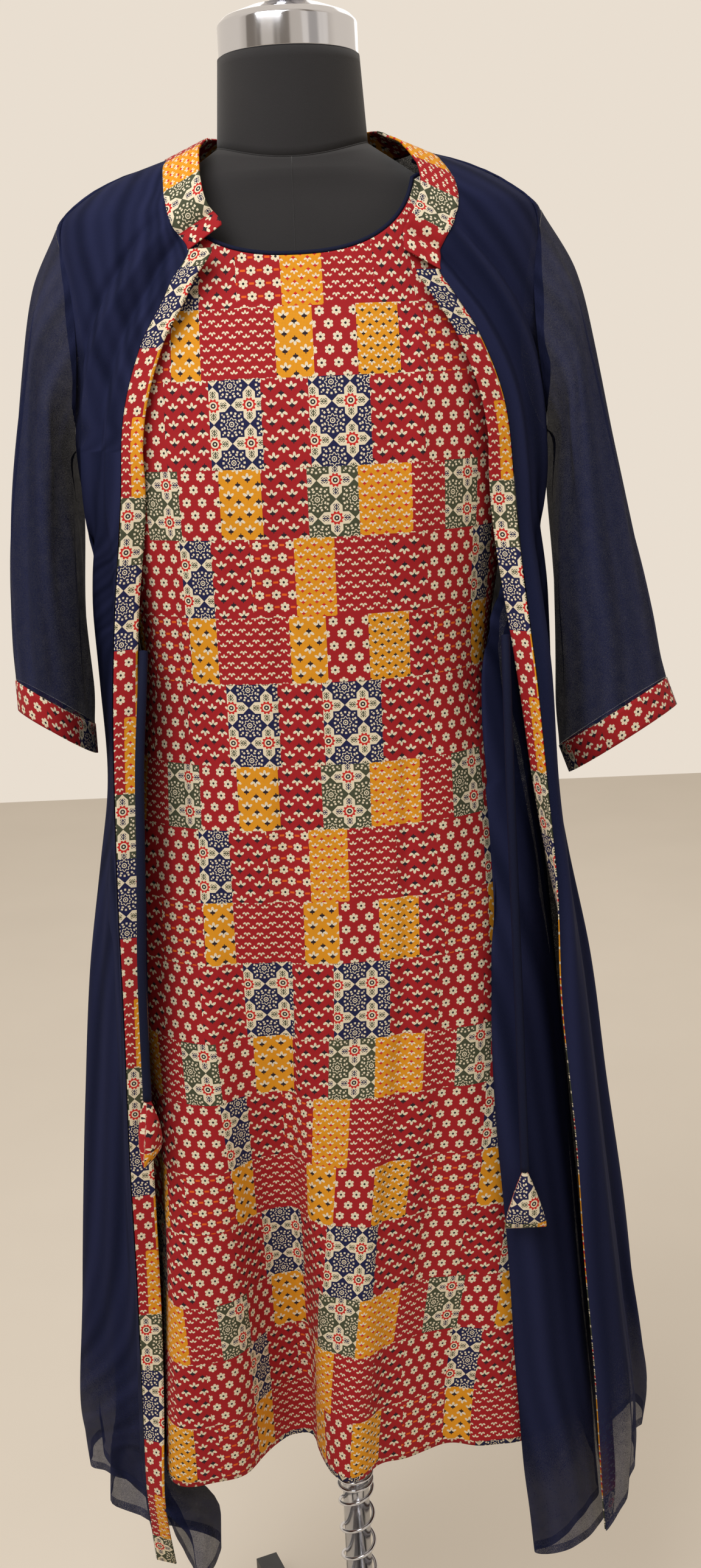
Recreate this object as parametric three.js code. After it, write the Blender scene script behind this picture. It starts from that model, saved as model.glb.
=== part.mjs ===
import * as THREE from "three";

// Jacket kurti on a dress form. Millimetres, +Z up, the wearer's front faces -Y,
// the origin is under the middle of the stand's hub, on the floor.

// ---- driving dimensions ----
const CLOTH_WALL = 1.2; // wall of every cloth panel
const SEAM_GAP = 0.3; // air left between two sewn pieces
const KURTI_HEM_Z = 460; // floor to the kurti's hem
const JACKET_HEM_Z = 350; // floor to the jacket's hem
const BAND_WIDTH = 20; // printed front band
const COLLAR_WIDTH = 30; // printed band collar
const CUFF_HEIGHT = 25; // printed cuff band
const PIPING_RADIUS = 1.6; // dark piping round the kurti's neck
const PIPING_SIDES = 5;
const DORI_RADIUS = 3.6; // tie tubes
const LATKAN_HEIGHT = 52; // stuffed triangles on the ties
const LATKAN_WIDTH = 35;
const LATKAN_DEPTH = 17;
const LEFT_LATKAN_TURN = 74; // the left triangle hangs nearly edge on
const POLE_RADIUS = 12.7;
const SPRING_RADIUS = 16; // centre line of the coil
const SPRING_WIRE = 1.8; // radius of the wire
const SPRING_TOP_Z = 365;
const HUB_TOP_Z = 120;
const HUB_RADIUS = 45;
const HUB_FOOT_Z = 35;
const BOSS_RADIUS = 22;
const LEG_REACH = 300;
const LEG_WIDTH = 25;
const LEG_HEIGHT = 30;
const FIRST_LEG_AZIMUTH = 22.5;
const NECK_TOP_Z = 1620;
const NECK_BASE_RADIUS = 59;
const NECK_TOP_RADIUS = 55;
const CAP_RADIUS = 54;
const CAP_BAND_HEIGHT = 24;
const BALL_RADIUS = 23.5;

// Neck seam of the form: lower at the front than at the sides.
const NECK_SEAM_SIDE_Z = 1556;
const NECK_SEAM_DIP = 14;

// ---- section tables, a row per height, top first ----
// side: half width, front and back: depth from the axis, power: squareness of the oval
const TORSO = [
  { z: 1532, side: 96, front: 68, back: 66, power: 1.8 },
  { z: 1517, side: 137, front: 71, back: 70, power: 1.7 },
  { z: 1500, side: 165, front: 77, back: 75, power: 1.75 },
  { z: 1482, side: 177, front: 83, back: 81, power: 1.9 },
  { z: 1446, side: 177, front: 95, back: 89, power: 2.1 },
  { z: 1400, side: 173, front: 110, back: 98, power: 2.3 },
  { z: 1350, side: 167, front: 119, back: 100, power: 2.3 },
  { z: 1300, side: 162, front: 122, back: 98, power: 2.3 },
  { z: 1250, side: 148, front: 112, back: 92, power: 2.3 },
  { z: 1200, side: 134, front: 102, back: 86, power: 2.3 },
  { z: 1150, side: 127, front: 95, back: 82, power: 2.3 },
  { z: 1100, side: 134, front: 98, back: 90, power: 2.3 },
  { z: 1050, side: 149, front: 104, back: 102, power: 2.3 },
  { z: 1000, side: 160, front: 107, back: 113, power: 2.3 },
  { z: 950, side: 165, front: 107, back: 118, power: 2.3 },
  { z: 900, side: 162, front: 104, back: 115, power: 2.3 },
  { z: 850, side: 154, front: 98, back: 107, power: 2.3 },
];

const KURTI = [
  { z: 1545, side: 84, front: 70, back: 68, power: 1.85 },
  { z: 1539, side: 100, front: 74, back: 72, power: 1.8 },
  { z: 1526, side: 142, front: 82, back: 81, power: 1.75 },
  { z: 1509, side: 171, front: 89, back: 88, power: 1.8 },
  { z: 1491, side: 184, front: 96, back: 94, power: 1.95 },
  { z: 1442, side: 184, front: 107, back: 101, power: 2.2 },
  { z: 1400, side: 179, front: 117, back: 105, power: 2.3 },
  { z: 1350, side: 173, front: 126, back: 107, power: 2.3 },
  { z: 1300, side: 168, front: 129, back: 106, power: 2.3 },
  { z: 1220, side: 152, front: 124, back: 104, power: 2.35 },
  { z: 1150, side: 145, front: 120, back: 104, power: 2.4 },
  { z: 1060, side: 160, front: 120, back: 116, power: 2.4 },
  { z: 950, side: 176, front: 121, back: 127, power: 2.5 },
  { z: 700, side: 199, front: 125, back: 129, power: 2.6 },
  { z: 460, side: 218, front: 128, back: 132, power: 2.6 },
  { z: 340, side: 226, front: 130, back: 134, power: 2.6 },
];

// Upright folds of the kurti's front, placed across the front at the top and at the hem.
// push is how far the fold stands out (or sinks, when negative) at the hem, power its squareness.
const KURTI_FRONT_FOLDS = [
  { topX: -96, hemX: -126, halfWidth: 36, push: 38, power: 2, startZ: 1080 },
  { topX: -62, hemX: -54, halfWidth: 27, push: -46, power: 4, startZ: 1080 },
  { topX: 40, hemX: -2, halfWidth: 20, push: 24, power: 2, startZ: 900 },
  { topX: 84, hemX: 88, halfWidth: 34, push: -18, power: 2, startZ: 980 },
  { topX: -160, hemX: -188, halfWidth: 28, push: -28, power: 2, startZ: 1000 },
];
// Upright folds of a back, placed by angle from the middle of the back.
const KURTI_BACK_FOLDS = [
  { angle: -44, halfWidth: 13, push: 12, startZ: 1120 },
  { angle: -14, halfWidth: 11, push: -10, startZ: 1120 },
  { angle: 12, halfWidth: 12, push: 12, startZ: 1120 },
  { angle: 42, halfWidth: 13, push: -10, startZ: 1120 },
];

// Jacket over the shoulders, down to the armholes.
const YOKE = [
  { z: 1562, left: 66, right: 68, front: 68, back: 68, power: 1.9 },
  { z: 1551, left: 92, right: 93, front: 76, back: 74, power: 1.8 },
  { z: 1538, left: 134, right: 135, front: 87, back: 87, power: 1.75 },
  { z: 1523, left: 166, right: 167, front: 96, back: 96, power: 1.8 },
  { z: 1502, left: 189, right: 193, front: 104, back: 103, power: 1.95 },
  { z: 1446, left: 190, right: 198, front: 114, back: 109, power: 2.2 },
  { z: 1400, left: 187, right: 197, front: 124, back: 113, power: 2.3 },
  { z: 1332, left: 185, right: 195, front: 136, back: 116, power: 2.3 },
  { z: 1230, left: 185, right: 195, front: 138, back: 120, power: 2.3 },
  { z: 1150, left: 185, right: 195, front: 138, back: 124, power: 2.3 },
];

// Jacket front edge where the band is sewn on, then the seam of the collar above it.
const FRONT_EDGE = [
  { z: 1551, leftX: 92, rightX: 93 },
  { z: 1538, leftX: 96, rightX: 110 },
  { z: 1514, leftX: 94, rightX: 122 },
  { z: 1492, leftX: 88, rightX: 119 },
  { z: 1476, leftX: 78, rightX: 110 },
  { z: 1455, leftX: 92, rightX: 106 },
  { z: 1440, leftX: 100, rightX: 115 },
  { z: 1410, leftX: 118, rightX: 134 },
  { z: 1360, leftX: 135, rightX: 153 },
  { z: 1300, leftX: 142, rightX: 160 },
  { z: 1190, leftX: 155, rightX: 168 },
  { z: 1080, leftX: 162, rightX: 178 },
];

// Jacket below the armholes, seen from above. All in millimetres from the axis.
// edge: sewn edge of the band, outer: widest point, fluteIn and fluteOut: the two walls of the
// inner flute beside the kurti, turn: direction of the band from the edge (0 is to the middle)
const LEFT_SKIRT = [
  { z: 1332, edgeX: 139, edgeY: 104, outerX: 185, fluteIn: 128, fluteOut: 140, turn: -28 },
  { z: 1230, edgeX: 151, edgeY: 110, outerX: 185, fluteIn: 128, fluteOut: 146, turn: 22 },
  { z: 1140, edgeX: 158, edgeY: 118, outerX: 183, fluteIn: 133, fluteOut: 150, turn: 20 },
  { z: 1060, edgeX: 162, edgeY: 124, outerX: 183, fluteIn: 138, fluteOut: 154, turn: 14 },
  { z: 980, edgeX: 165, edgeY: 128, outerX: 195, fluteIn: 142, fluteOut: 158, turn: 14 },
  { z: 880, edgeX: 168, edgeY: 128, outerX: 212, fluteIn: 146, fluteOut: 162, turn: 12 },
  { z: 760, edgeX: 173, edgeY: 124, outerX: 226, fluteIn: 152, fluteOut: 168, turn: 10 },
  { z: 640, edgeX: 176, edgeY: 122, outerX: 238, fluteIn: 158, fluteOut: 172, turn: 8 },
  { z: 530, edgeX: 179, edgeY: 125, outerX: 248, fluteIn: 157, fluteOut: 167, turn: -15 },
  { z: 450, edgeX: 181, edgeY: 129, outerX: 255, fluteIn: 148, fluteOut: 158, turn: -32 },
  { z: 400, edgeX: 182, edgeY: 116, outerX: 257, fluteIn: 140, fluteOut: 154, turn: -30 },
  { z: 350, edgeX: 182, edgeY: 103, outerX: 253, fluteIn: 126, fluteOut: 148, turn: -20 },
];
const RIGHT_SKIRT = [
  { z: 1332, edgeX: 156, edgeY: 104, outerX: 195, fluteIn: 132, fluteOut: 144, turn: -28 },
  { z: 1230, edgeX: 165, edgeY: 110, outerX: 196, fluteIn: 129, fluteOut: 150, turn: 28 },
  { z: 1140, edgeX: 173, edgeY: 118, outerX: 197, fluteIn: 128, fluteOut: 155, turn: 48 },
  { z: 1060, edgeX: 179, edgeY: 124, outerX: 198, fluteIn: 129, fluteOut: 160, turn: 62 },
  { z: 980, edgeX: 185, edgeY: 128, outerX: 209, fluteIn: 130, fluteOut: 163, turn: 84 },
  { z: 880, edgeX: 188, edgeY: 128, outerX: 228, fluteIn: 131, fluteOut: 167, turn: 138 },
  { z: 760, edgeX: 199, edgeY: 124, outerX: 242, fluteIn: 135, fluteOut: 173, turn: 140 },
  { z: 640, edgeX: 207, edgeY: 116, outerX: 258, fluteIn: 140, fluteOut: 182, turn: 140 },
  { z: 530, edgeX: 216, edgeY: 108, outerX: 270, fluteIn: 145, fluteOut: 190, turn: 140 },
  { z: 450, edgeX: 221, edgeY: 102, outerX: 278, fluteIn: 150, fluteOut: 197, turn: 138 },
  { z: 400, edgeX: 224, edgeY: 97, outerX: 282, fluteIn: 154, fluteOut: 202, turn: 138 },
  { z: 350, edgeX: 228, edgeY: 92, outerX: 278, fluteIn: 158, fluteOut: 205, turn: 120 },
];
// Back of the jacket: depth at the middle of the back.
const JACKET_BACK = [
  { z: 1332, depth: 116 },
  { z: 1150, depth: 124 },
  { z: 950, depth: 142 },
  { z: 640, depth: 152 },
  { z: 350, depth: 162 },
];
const JACKET_BACK_FOLDS = [
  { angle: -58, halfWidth: 9, push: 8, startZ: 1250 },
  { angle: -36, halfWidth: 8, push: -10, startZ: 1250 },
  { angle: -14, halfWidth: 9, push: 14, startZ: 1300 },
  { angle: 10, halfWidth: 9, push: -10, startZ: 1300 },
  { angle: 34, halfWidth: 9, push: 13, startZ: 1250 },
  { angle: 58, halfWidth: 8, push: -8, startZ: 1250 },
];

// Armholes: an oval hole in the side of each garment.
const KURTI_ARMHOLE = { z: 1410, halfHeight: 80, halfDepth: 50 };
const JACKET_ARMHOLE = { z: 1417, halfHeight: 85, halfDepth: 56 };
const ARMHOLE_STEPS = [0, 24, 50, 78, 106, 134, 160, 180];

// Sleeves: outer and inner point of each section, its half depth, how far its middle is forward
// and how far its back hangs below its front. x grows away from the body.
const LEFT_SLEEVE = [
  { outX: 208, outZ: 1456, inX: 191, inZ: 1322, depth: 60, forward: 2, hang: 0 },
  { outX: 222, outZ: 1396, inX: 190, inZ: 1290, depth: 62, forward: 6, hang: 3 },
  { outX: 234, outZ: 1322, inX: 189, inZ: 1250, depth: 62, forward: 14, hang: 6 },
  { outX: 242, outZ: 1255, inX: 189, inZ: 1204, depth: 61, forward: 22, hang: 9 },
  { outX: 245, outZ: 1200, inX: 188, inZ: 1158, depth: 60, forward: 30, hang: 13 },
  { outX: 245, outZ: 1150, inX: 187, inZ: 1111, depth: 59, forward: 36, hang: 16 },
];
const RIGHT_SLEEVE = [
  { outX: 217, outZ: 1454, inX: 201, inZ: 1322, depth: 58, forward: 2, hang: 0 },
  { outX: 233, outZ: 1396, inX: 200, inZ: 1288, depth: 58, forward: 4, hang: 3 },
  { outX: 248, outZ: 1322, inX: 200, inZ: 1242, depth: 56, forward: 10, hang: 5 },
  { outX: 260, outZ: 1262, inX: 200, inZ: 1190, depth: 54, forward: 16, hang: 8 },
  { outX: 273, outZ: 1204, inX: 201, inZ: 1134, depth: 51, forward: 22, hang: 11 },
  { outX: 289, outZ: 1128, inX: 201, inZ: 1074, depth: 47, forward: 28, hang: 13 },
];

// Ties: hanging line from the band down to the stuffed triangle, y forward of the axis.
const LEFT_DORI = [
  { x: -134, y: -119, z: 1150 },
  { x: -139, y: -131, z: 1090 },
  { x: -144, y: -135, z: 1000 },
  { x: -149, y: -137, z: 920 },
  { x: -152, y: -138, z: 818 },
];
const RIGHT_DORI = [
  { x: 149, y: -112, z: 1140 },
  { x: 150, y: -119, z: 1040 },
  { x: 153, y: -124, z: 880 },
  { x: 155, y: -130, z: 736 },
];
const DORI_START_Z = 1180;

// ---- small helpers ----
const radians = (degrees) => (degrees * Math.PI) / 180;
const mix = (a, b, t) => a + (b - a) * t;
const clamp01 = (t) => Math.min(1, Math.max(0, t));
const smooth = (t) => clamp01(t) * clamp01(t) * (3 - 2 * clamp01(t));
const signedPower = (v, p) => Math.sign(v) * Math.abs(v) ** p;

// Value of one named column of a table at height z, eased between rows.
function at(table, z, column) {
  const last = table.length - 1;
  if (z >= table[0].z) return table[0][column];
  if (z <= table[last].z) return table[last][column];
  const i = table.findIndex((row) => row.z <= z) - 1;
  const a = table[i];
  const b = table[i + 1];
  const slope = (k) => {
    const up = table[Math.max(k - 1, 0)];
    const down = table[Math.min(k + 1, last)];
    return (up[column] - down[column]) / (up.z - down.z);
  };
  const h = a.z - b.z;
  const t = (a.z - z) / h;
  const t2 = t * t;
  const t3 = t2 * t;
  return (2 * t3 - 3 * t2 + 1) * a[column] - (t3 - 2 * t2 + t) * h * slope(i)
    + (3 * t2 - 2 * t3) * b[column] - (t3 - t2) * h * slope(i + 1);
}

// Point of an oval ring at an angle: 0 is the front, 90 the wearer's side at +X, 180 the back.
function ringPoint(ring, angle, z) {
  const s = Math.sin(radians(angle));
  const c = Math.cos(radians(angle));
  const side = s < 0 ? ring.left : ring.right;
  const depth = c > 0 ? ring.front : ring.back;
  return new THREE.Vector3(
    side * signedPower(s, 2 / ring.power),
    -depth * signedPower(c, 2 / ring.power),
    z,
  );
}

function ringAt(table, z) {
  const side = table[0].side !== undefined;
  return {
    left: at(table, z, side ? "side" : "left"),
    right: at(table, z, side ? "side" : "right"),
    front: at(table, z, "front"),
    back: at(table, z, "back"),
    power: at(table, z, "power"),
  };
}

const hump = (distance, halfWidth, power = 2) => Math.exp(-(Math.abs(distance / halfWidth) ** power));

// Angle on a ring at which its front has a given x.
function angleAtX(ring, x) {
  const side = x < 0 ? ring.left : ring.right;
  const s = Math.min(1, Math.abs(x) / side) ** (ring.power / 2);
  return (Math.sign(x) * Math.asin(s) * 180) / Math.PI;
}
// Angle from the middle of a panel to the side seam, the armhole or the shoulder seam.
function sideReach(ring, armhole, z, facesBack) {
  const reach = (z - armhole.z) / armhole.halfHeight;
  if (Math.abs(reach) > 0.9999) return 90;
  const depth = armhole.halfDepth * Math.sqrt(1 - reach * reach);
  const full = facesBack ? ring.back : ring.front;
  const c = Math.min(1, depth / full) ** (ring.power / 2);
  return (Math.acos(c) * 180) / Math.PI;
}

// ---- closed bodies ----
function body(name, points, faces) {
  let volume = 0;
  for (const [a, b, c] of faces) {
    volume += points[a].dot(new THREE.Vector3().crossVectors(points[b], points[c]));
  }
  const order = volume < 0 ? faces.map(([a, b, c]) => [a, c, b]) : faces;
  const geometry = new THREE.BufferGeometry();
  geometry.setAttribute(
    "position",
    new THREE.Float32BufferAttribute(points.flatMap((p) => [p.x, p.y, p.z]), 3),
  );
  geometry.setIndex(order.flat());
  const mesh = new THREE.Mesh(geometry);
  mesh.name = name;
  return mesh;
}

// Solid skinned over rings of equal length, closed with a flat fan at each end.
function loft(name, rings) {
  const n = rings[0].length;
  const points = rings.flat().map((p) => p.clone());
  const faces = [];
  for (let j = 0; j + 1 < rings.length; j++) {
    for (let i = 0; i < n; i++) {
      const k = (i + 1) % n;
      faces.push([j * n + i, j * n + k, (j + 1) * n + k]);
      faces.push([j * n + i, (j + 1) * n + k, (j + 1) * n + i]);
    }
  }
  for (const j of [0, rings.length - 1]) {
    const centre = new THREE.Vector3();
    rings[j].forEach((p) => centre.add(p));
    points.push(centre.divideScalar(n));
    const hub = points.length - 1;
    for (let i = 0; i < n; i++) {
      const k = (i + 1) % n;
      faces.push(j === 0 ? [hub, j * n + k, j * n + i] : [hub, j * n + i, j * n + k]);
    }
  }
  return body(name, points, faces);
}

// Outward directions of a grid of points. before and after are the columns beyond its two sides.
function gridNormals(grid, before, after) {
  const rows = grid.length;
  const columns = grid[0].length;
  return grid.map((row, j) => row.map((point, i) => {
    const left = i > 0 ? row[i - 1] : before ? before[j] : row[i];
    const right = i + 1 < columns ? row[i + 1] : after ? after[j] : row[i];
    const under = grid[Math.max(j - 1, 0)][i];
    const over = grid[Math.min(j + 1, rows - 1)][i];
    const across = new THREE.Vector3().subVectors(right, left);
    const up = new THREE.Vector3().subVectors(over, under);
    return across.cross(up).normalize();
  }));
}

// Cloth wall over a grid. around joins the last column to the first.
function wall(name, grid, normals, around = false) {
  const rows = grid.length;
  const columns = grid[0].length;
  const size = rows * columns;
  const half = CLOTH_WALL / 2;
  const points = [];
  for (const side of [half, -half]) {
    grid.forEach((row, j) => row.forEach((p, i) => {
      points.push(p.clone().addScaledVector(normals[j][i], side));
    }));
  }
  const id = (j, i) => j * columns + (i % columns);
  const faces = [];
  const spans = around ? columns : columns - 1;
  for (let j = 0; j + 1 < rows; j++) {
    for (let i = 0; i < spans; i++) {
      const [a, b, c, d] = [id(j, i), id(j, i + 1), id(j + 1, i + 1), id(j + 1, i)];
      faces.push([a, b, c], [a, c, d]);
      faces.push([size + a, size + c, size + b], [size + a, size + d, size + c]);
    }
  }
  const edge = (a, b) => faces.push([a, size + b, b], [a, size + a, size + b]);
  for (let i = 0; i < spans; i++) {
    edge(id(0, i), id(0, i + 1));
    edge(id(rows - 1, i + 1), id(rows - 1, i));
  }
  for (let j = 0; !around && j + 1 < rows; j++) {
    edge(id(j + 1, 0), id(j, 0));
    edge(id(j, columns - 1), id(j + 1, columns - 1));
  }
  return body(name, points, faces);
}

// Draws the first or last column of a grid back so a sewn neighbour does not touch it.
function trimSide(grid, last) {
  const end = last ? grid[0].length - 1 : 0;
  const next = last ? end - 1 : 1;
  for (const row of grid) {
    const pull = new THREE.Vector3().subVectors(row[next], row[end]);
    const length = pull.length();
    row[end] = row[end].clone().addScaledVector(pull, (0.8 * SEAM_GAP) / length);
  }
}

// ---- kurti ----
const KURTI_ROWS = [460, 530, 620, 730, 850, 960, 1060, 1150, 1240];
const NECK_SHARE = 0.66; // part of a half panel's width that ends on the neckline
const SHOULDER_SPANS = 3;
const KURTI_NECK = { frontZ: 1469, backZ: 1516, sideZ: 1542, halfWidth: 92 };

// Rows above the armhole's lowest point: their heights at the armhole and how far up they are.
function upperRows(armhole) {
  return ARMHOLE_STEPS.map((a) => {
    const part = (1 - Math.cos(radians(a))) / 2;
    return { part, z: armhole.z + armhole.halfHeight * (2 * part - 1) };
  });
}

// How much of the kurti's folds has grown at height z, 0 at their start and 1 at the hem.
const grownAt = (fold, z) => clamp01((fold.startZ - z) / (fold.startZ - KURTI_HEM_Z));

function kurtiSurface(angle, z) {
  const p = ringPoint(ringAt(KURTI, z), angle, z);
  const s = Math.sin(radians(angle));
  const c = Math.cos(radians(angle));
  let push = 0;
  if (c > 0) {
    for (const fold of KURTI_FRONT_FOLDS) {
      const grown = grownAt(fold, z);
      const middle = mix(fold.topX, fold.hemX, grown);
      push += fold.push * smooth(grown) * hump(p.x - middle, fold.halfWidth, fold.power);
    }
    push *= smooth(c * 4);
  } else {
    for (const fold of KURTI_BACK_FOLDS) {
      const fromBack = angle < 0 ? angle + 180 : angle - 180;
      push += fold.push * smooth(grownAt(fold, z)) * hump(fromBack - fold.angle, fold.halfWidth);
    }
  }
  p.x += push * s;
  p.y -= push * c;
  return p;
}

// Half angle at which the front neckline stands at height z (0 below its lowest point).
function neckAngle(z) {
  const rise = clamp01((z - KURTI_NECK.frontZ) / (KURTI_NECK.sideZ - KURTI_NECK.frontZ));
  const x = KURTI_NECK.halfWidth * (1 - (1 - rise) ** 2.5) ** 0.4;
  return angleAtX(ringAt(KURTI, z), x);
}

// Columns of half a panel, from its middle (0) to its side (1). The first ones end on the
// neckline, where neck runs from 0 to 1; the last ones on the shoulder seam, by shoulder.
function halfColumns(neckSpans) {
  const places = [];
  for (let i = 0; i <= neckSpans; i++) {
    places.push({ u: (NECK_SHARE * i) / neckSpans, neck: i / neckSpans, shoulder: 0 });
  }
  for (let k = 1; k <= SHOULDER_SPANS; k++) {
    const shoulder = k / SHOULDER_SPANS;
    places.push({ u: mix(NECK_SHARE, 1, shoulder), neck: 1, shoulder });
  }
  return places;
}

// Both halves of a panel: turned is -1 for the half at -X.
function wholeColumns(neckSpans) {
  const half = halfColumns(neckSpans);
  const mirrored = half.slice(1).reverse().map((c) => ({ ...c, turned: -1 }));
  return [...mirrored, ...half.map((c) => ({ ...c, turned: 1 }))];
}

// Angle of a column at height z between its low and its top angle, led by the armhole at the side.
function columnAngle(table, armhole, facesBack, row, u, lowAngle, topAngle) {
  const led = sideReach(ringAt(table, row.z), armhole, row.z, facesBack) - 90;
  return mix(lowAngle, topAngle, row.part) + led * u ** 3;
}

function kurtiPanel(facesBack, columns) {
  const lowZ = facesBack ? KURTI_NECK.backZ : KURTI_NECK.frontZ;
  const place = (angle, z) => kurtiSurface(facesBack ? 180 + angle : angle, z);
  const lowAngle = (u) => 90 * (0.35 * u + (1.3 * Math.asin(Math.min(1, u))) / Math.PI);
  const rows = upperRows(KURTI_ARMHOLE);
  const startZ = rows[0].z;
  const tipZ = rows[rows.length - 1].z;
  const grid = KURTI_ROWS.map((z) => columns.map((c) => place(c.turned * lowAngle(c.u), z)));
  for (const row of rows) {
    grid.push(columns.map((c) => {
      const neckZ = mix(lowZ, KURTI_NECK.sideZ, c.neck ** 2.2);
      const topZ = mix(neckZ, tipZ, c.shoulder);
      const topAngle = c.neck === 1 ? 90 : facesBack ? 90 * c.neck : neckAngle(neckZ);
      const z = mix(startZ, topZ, row.part);
      const angle = columnAngle(KURTI, KURTI_ARMHOLE, facesBack, row, c.u, lowAngle(c.u), topAngle);
      return place(c.turned * angle, z);
    }));
  }
  return grid;
}

// Gives two panels one direction along their shoulder seam and draws them apart there.
function sewShoulder(first, firstNormals, second, secondNormals, pairs) {
  const top = first.length - 1;
  for (const [i, k] of pairs) {
    const shared = firstNormals[top][i].clone().add(secondNormals[top][k]).normalize();
    firstNormals[top][i] = shared;
    secondNormals[top][k] = shared;
  }
  for (const [i, k] of pairs) {
    for (const [grid, c] of [[first, i], [second, k]]) {
      const pull = new THREE.Vector3().subVectors(grid[top - 1][c], grid[top][c]).normalize();
      grid[top][c] = grid[top][c].clone().addScaledVector(pull, 0.8 * SEAM_GAP);
    }
  }
}

// Column pairs along both shoulder seams of a front and a back that run opposite ways.
function shoulderPairs(frontCount, backCount) {
  const pairs = [];
  for (let k = 0; k <= SHOULDER_SPANS; k++) {
    pairs.push([k, backCount - 1 - k], [frontCount - 1 - k, k]);
  }
  return pairs;
}

const column = (grid, i) => grid.map((row) => row[(i + row.length) % row.length]);

// Top row of a panel between its two shoulder seams.
const neckPart = (grid) => grid[grid.length - 1].slice(SHOULDER_SPANS, -SHOULDER_SPANS);

function kurti() {
  const front = kurtiPanel(false, wholeColumns(10));
  const back = kurtiPanel(true, wholeColumns(5));
  const neckline = [...neckPart(front), ...neckPart(back).slice(1, -1)].map((p) => p.clone());
  const frontNormals = gridNormals(front, column(back, -2), column(back, 1));
  const backNormals = gridNormals(back, column(front, -2), column(front, 1));
  const pairs = shoulderPairs(front[0].length, back[0].length);
  sewShoulder(front, frontNormals, back, backNormals, pairs);
  for (const grid of [front, back]) {
    trimSide(grid, false);
    trimSide(grid, true);
  }
  return [
    wall("kurti_front", front, frontNormals),
    wall("kurti_back", back, backNormals),
    piping(neckline),
  ];
}

// Small ring of points round a middle, square to a direction.
function smallRing(middle, along, radius, count, toward) {
  const up = toward.clone().addScaledVector(along, -toward.dot(along)).normalize();
  const across = new THREE.Vector3().crossVectors(along, up);
  return Array.from({ length: count }, (_, k) => middle.clone()
    .addScaledVector(up, radius * Math.cos((2 * Math.PI * k) / count))
    .addScaledVector(across, radius * Math.sin((2 * Math.PI * k) / count)));
}

// Solid tube over small rings, closed on itself.
function loopedTube(name, rings) {
  const n = rings[0].length;
  const faces = [];
  for (let j = 0; j < rings.length; j++) {
    const next = (j + 1) % rings.length;
    for (let i = 0; i < n; i++) {
      const k = (i + 1) % n;
      faces.push([j * n + i, j * n + k, next * n + k], [j * n + i, next * n + k, next * n + i]);
    }
  }
  return body(name, rings.flat(), faces);
}

// Round cord sewn along the top of the kurti's neckline.
function piping(neck) {
  const lift = PIPING_RADIUS + 2 * SEAM_GAP;
  const rings = neck.map((p, i) => {
    const before = neck[(i + neck.length - 1) % neck.length];
    const after = neck[(i + 1) % neck.length];
    const along = new THREE.Vector3().subVectors(after, before).normalize();
    const up = new THREE.Vector3(-p.x, -p.y, 0).normalize().multiplyScalar(0.6);
    up.z = 0.8;
    up.addScaledVector(along, -up.dot(along)).normalize();
    return smallRing(p.clone().addScaledVector(up, lift), along, PIPING_RADIUS, PIPING_SIDES, up);
  });
  return loopedTube("kurti_neck_piping", rings);
}

// ---- jacket ----
const SKIRT_ROWS = [350, 400, 450, 530, 640, 760, 880, 980, 1060, 1140, 1230];
const JACKET_NECK = { leftZ: 1476, rightZ: 1455, backZ: 1547, sideZ: 1551 };
const FOLD_TOP_Z = 1330; // the inner flutes start below this height
const FOLD_FULL_Z = 1140;
const LAYER_NEAR = 7; // cloth lying nearest the kurti
const LAYER_FAR = 16; // cloth folded over it
const FRONT_STEPS = 20; // columns of a jacket front
const WIDEST_Y = -8; // where the jacket is widest
const HEM_RISE = { left: 34, right: 52, fromZ: 560 }; // hem drawn up beside each band
const SEAM_ANGLE = 104; // side seam below the armhole, a little behind the side
// Each front's fullest place, as shares of the way to its widest place, and how far the
// folds of its inner flute stand off the kurti.
const LEFT_PLAN = { across: 0.22, back: 0.5, bulge: 10, over: 14 };
const RIGHT_PLAN = { across: 0.5, back: 0.08, bulge: 21, over: 16 };
const BEFORE_WIDEST = { across: 0.74, y: 0.25 };
const BEHIND_WIDEST = { inward: 6, back: 46 };
const TURN_UNDER_ANGLE = 96; // the front's cloth turns back under itself here
const FLUTE_MIDDLE = 0.45; // place between the flute's inner and outer fold
const FLUTE_ROOT = 0.3; // place between the flute's inner fold and the side
const UNDER_ANGLE = 82;
// Below its hem the left front swings in under the kurti, this far for each fold.
const UNDER_HEM = { below: 20, within: 60, over: -20, bulge: -16, inner: -26, root: -36 };

// Point beside the kurti: its surface moved out in plan.
function besideKurti(angle, z, out) {
  const a = kurtiSurface(angle - 1.5, z);
  const b = kurtiSurface(angle + 1.5, z);
  const along = new THREE.Vector2(b.x - a.x, b.y - a.y).normalize();
  return new THREE.Vector2((a.x + b.x) / 2 + along.y * out, (a.y + b.y) / 2 - along.x * out);
}

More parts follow.
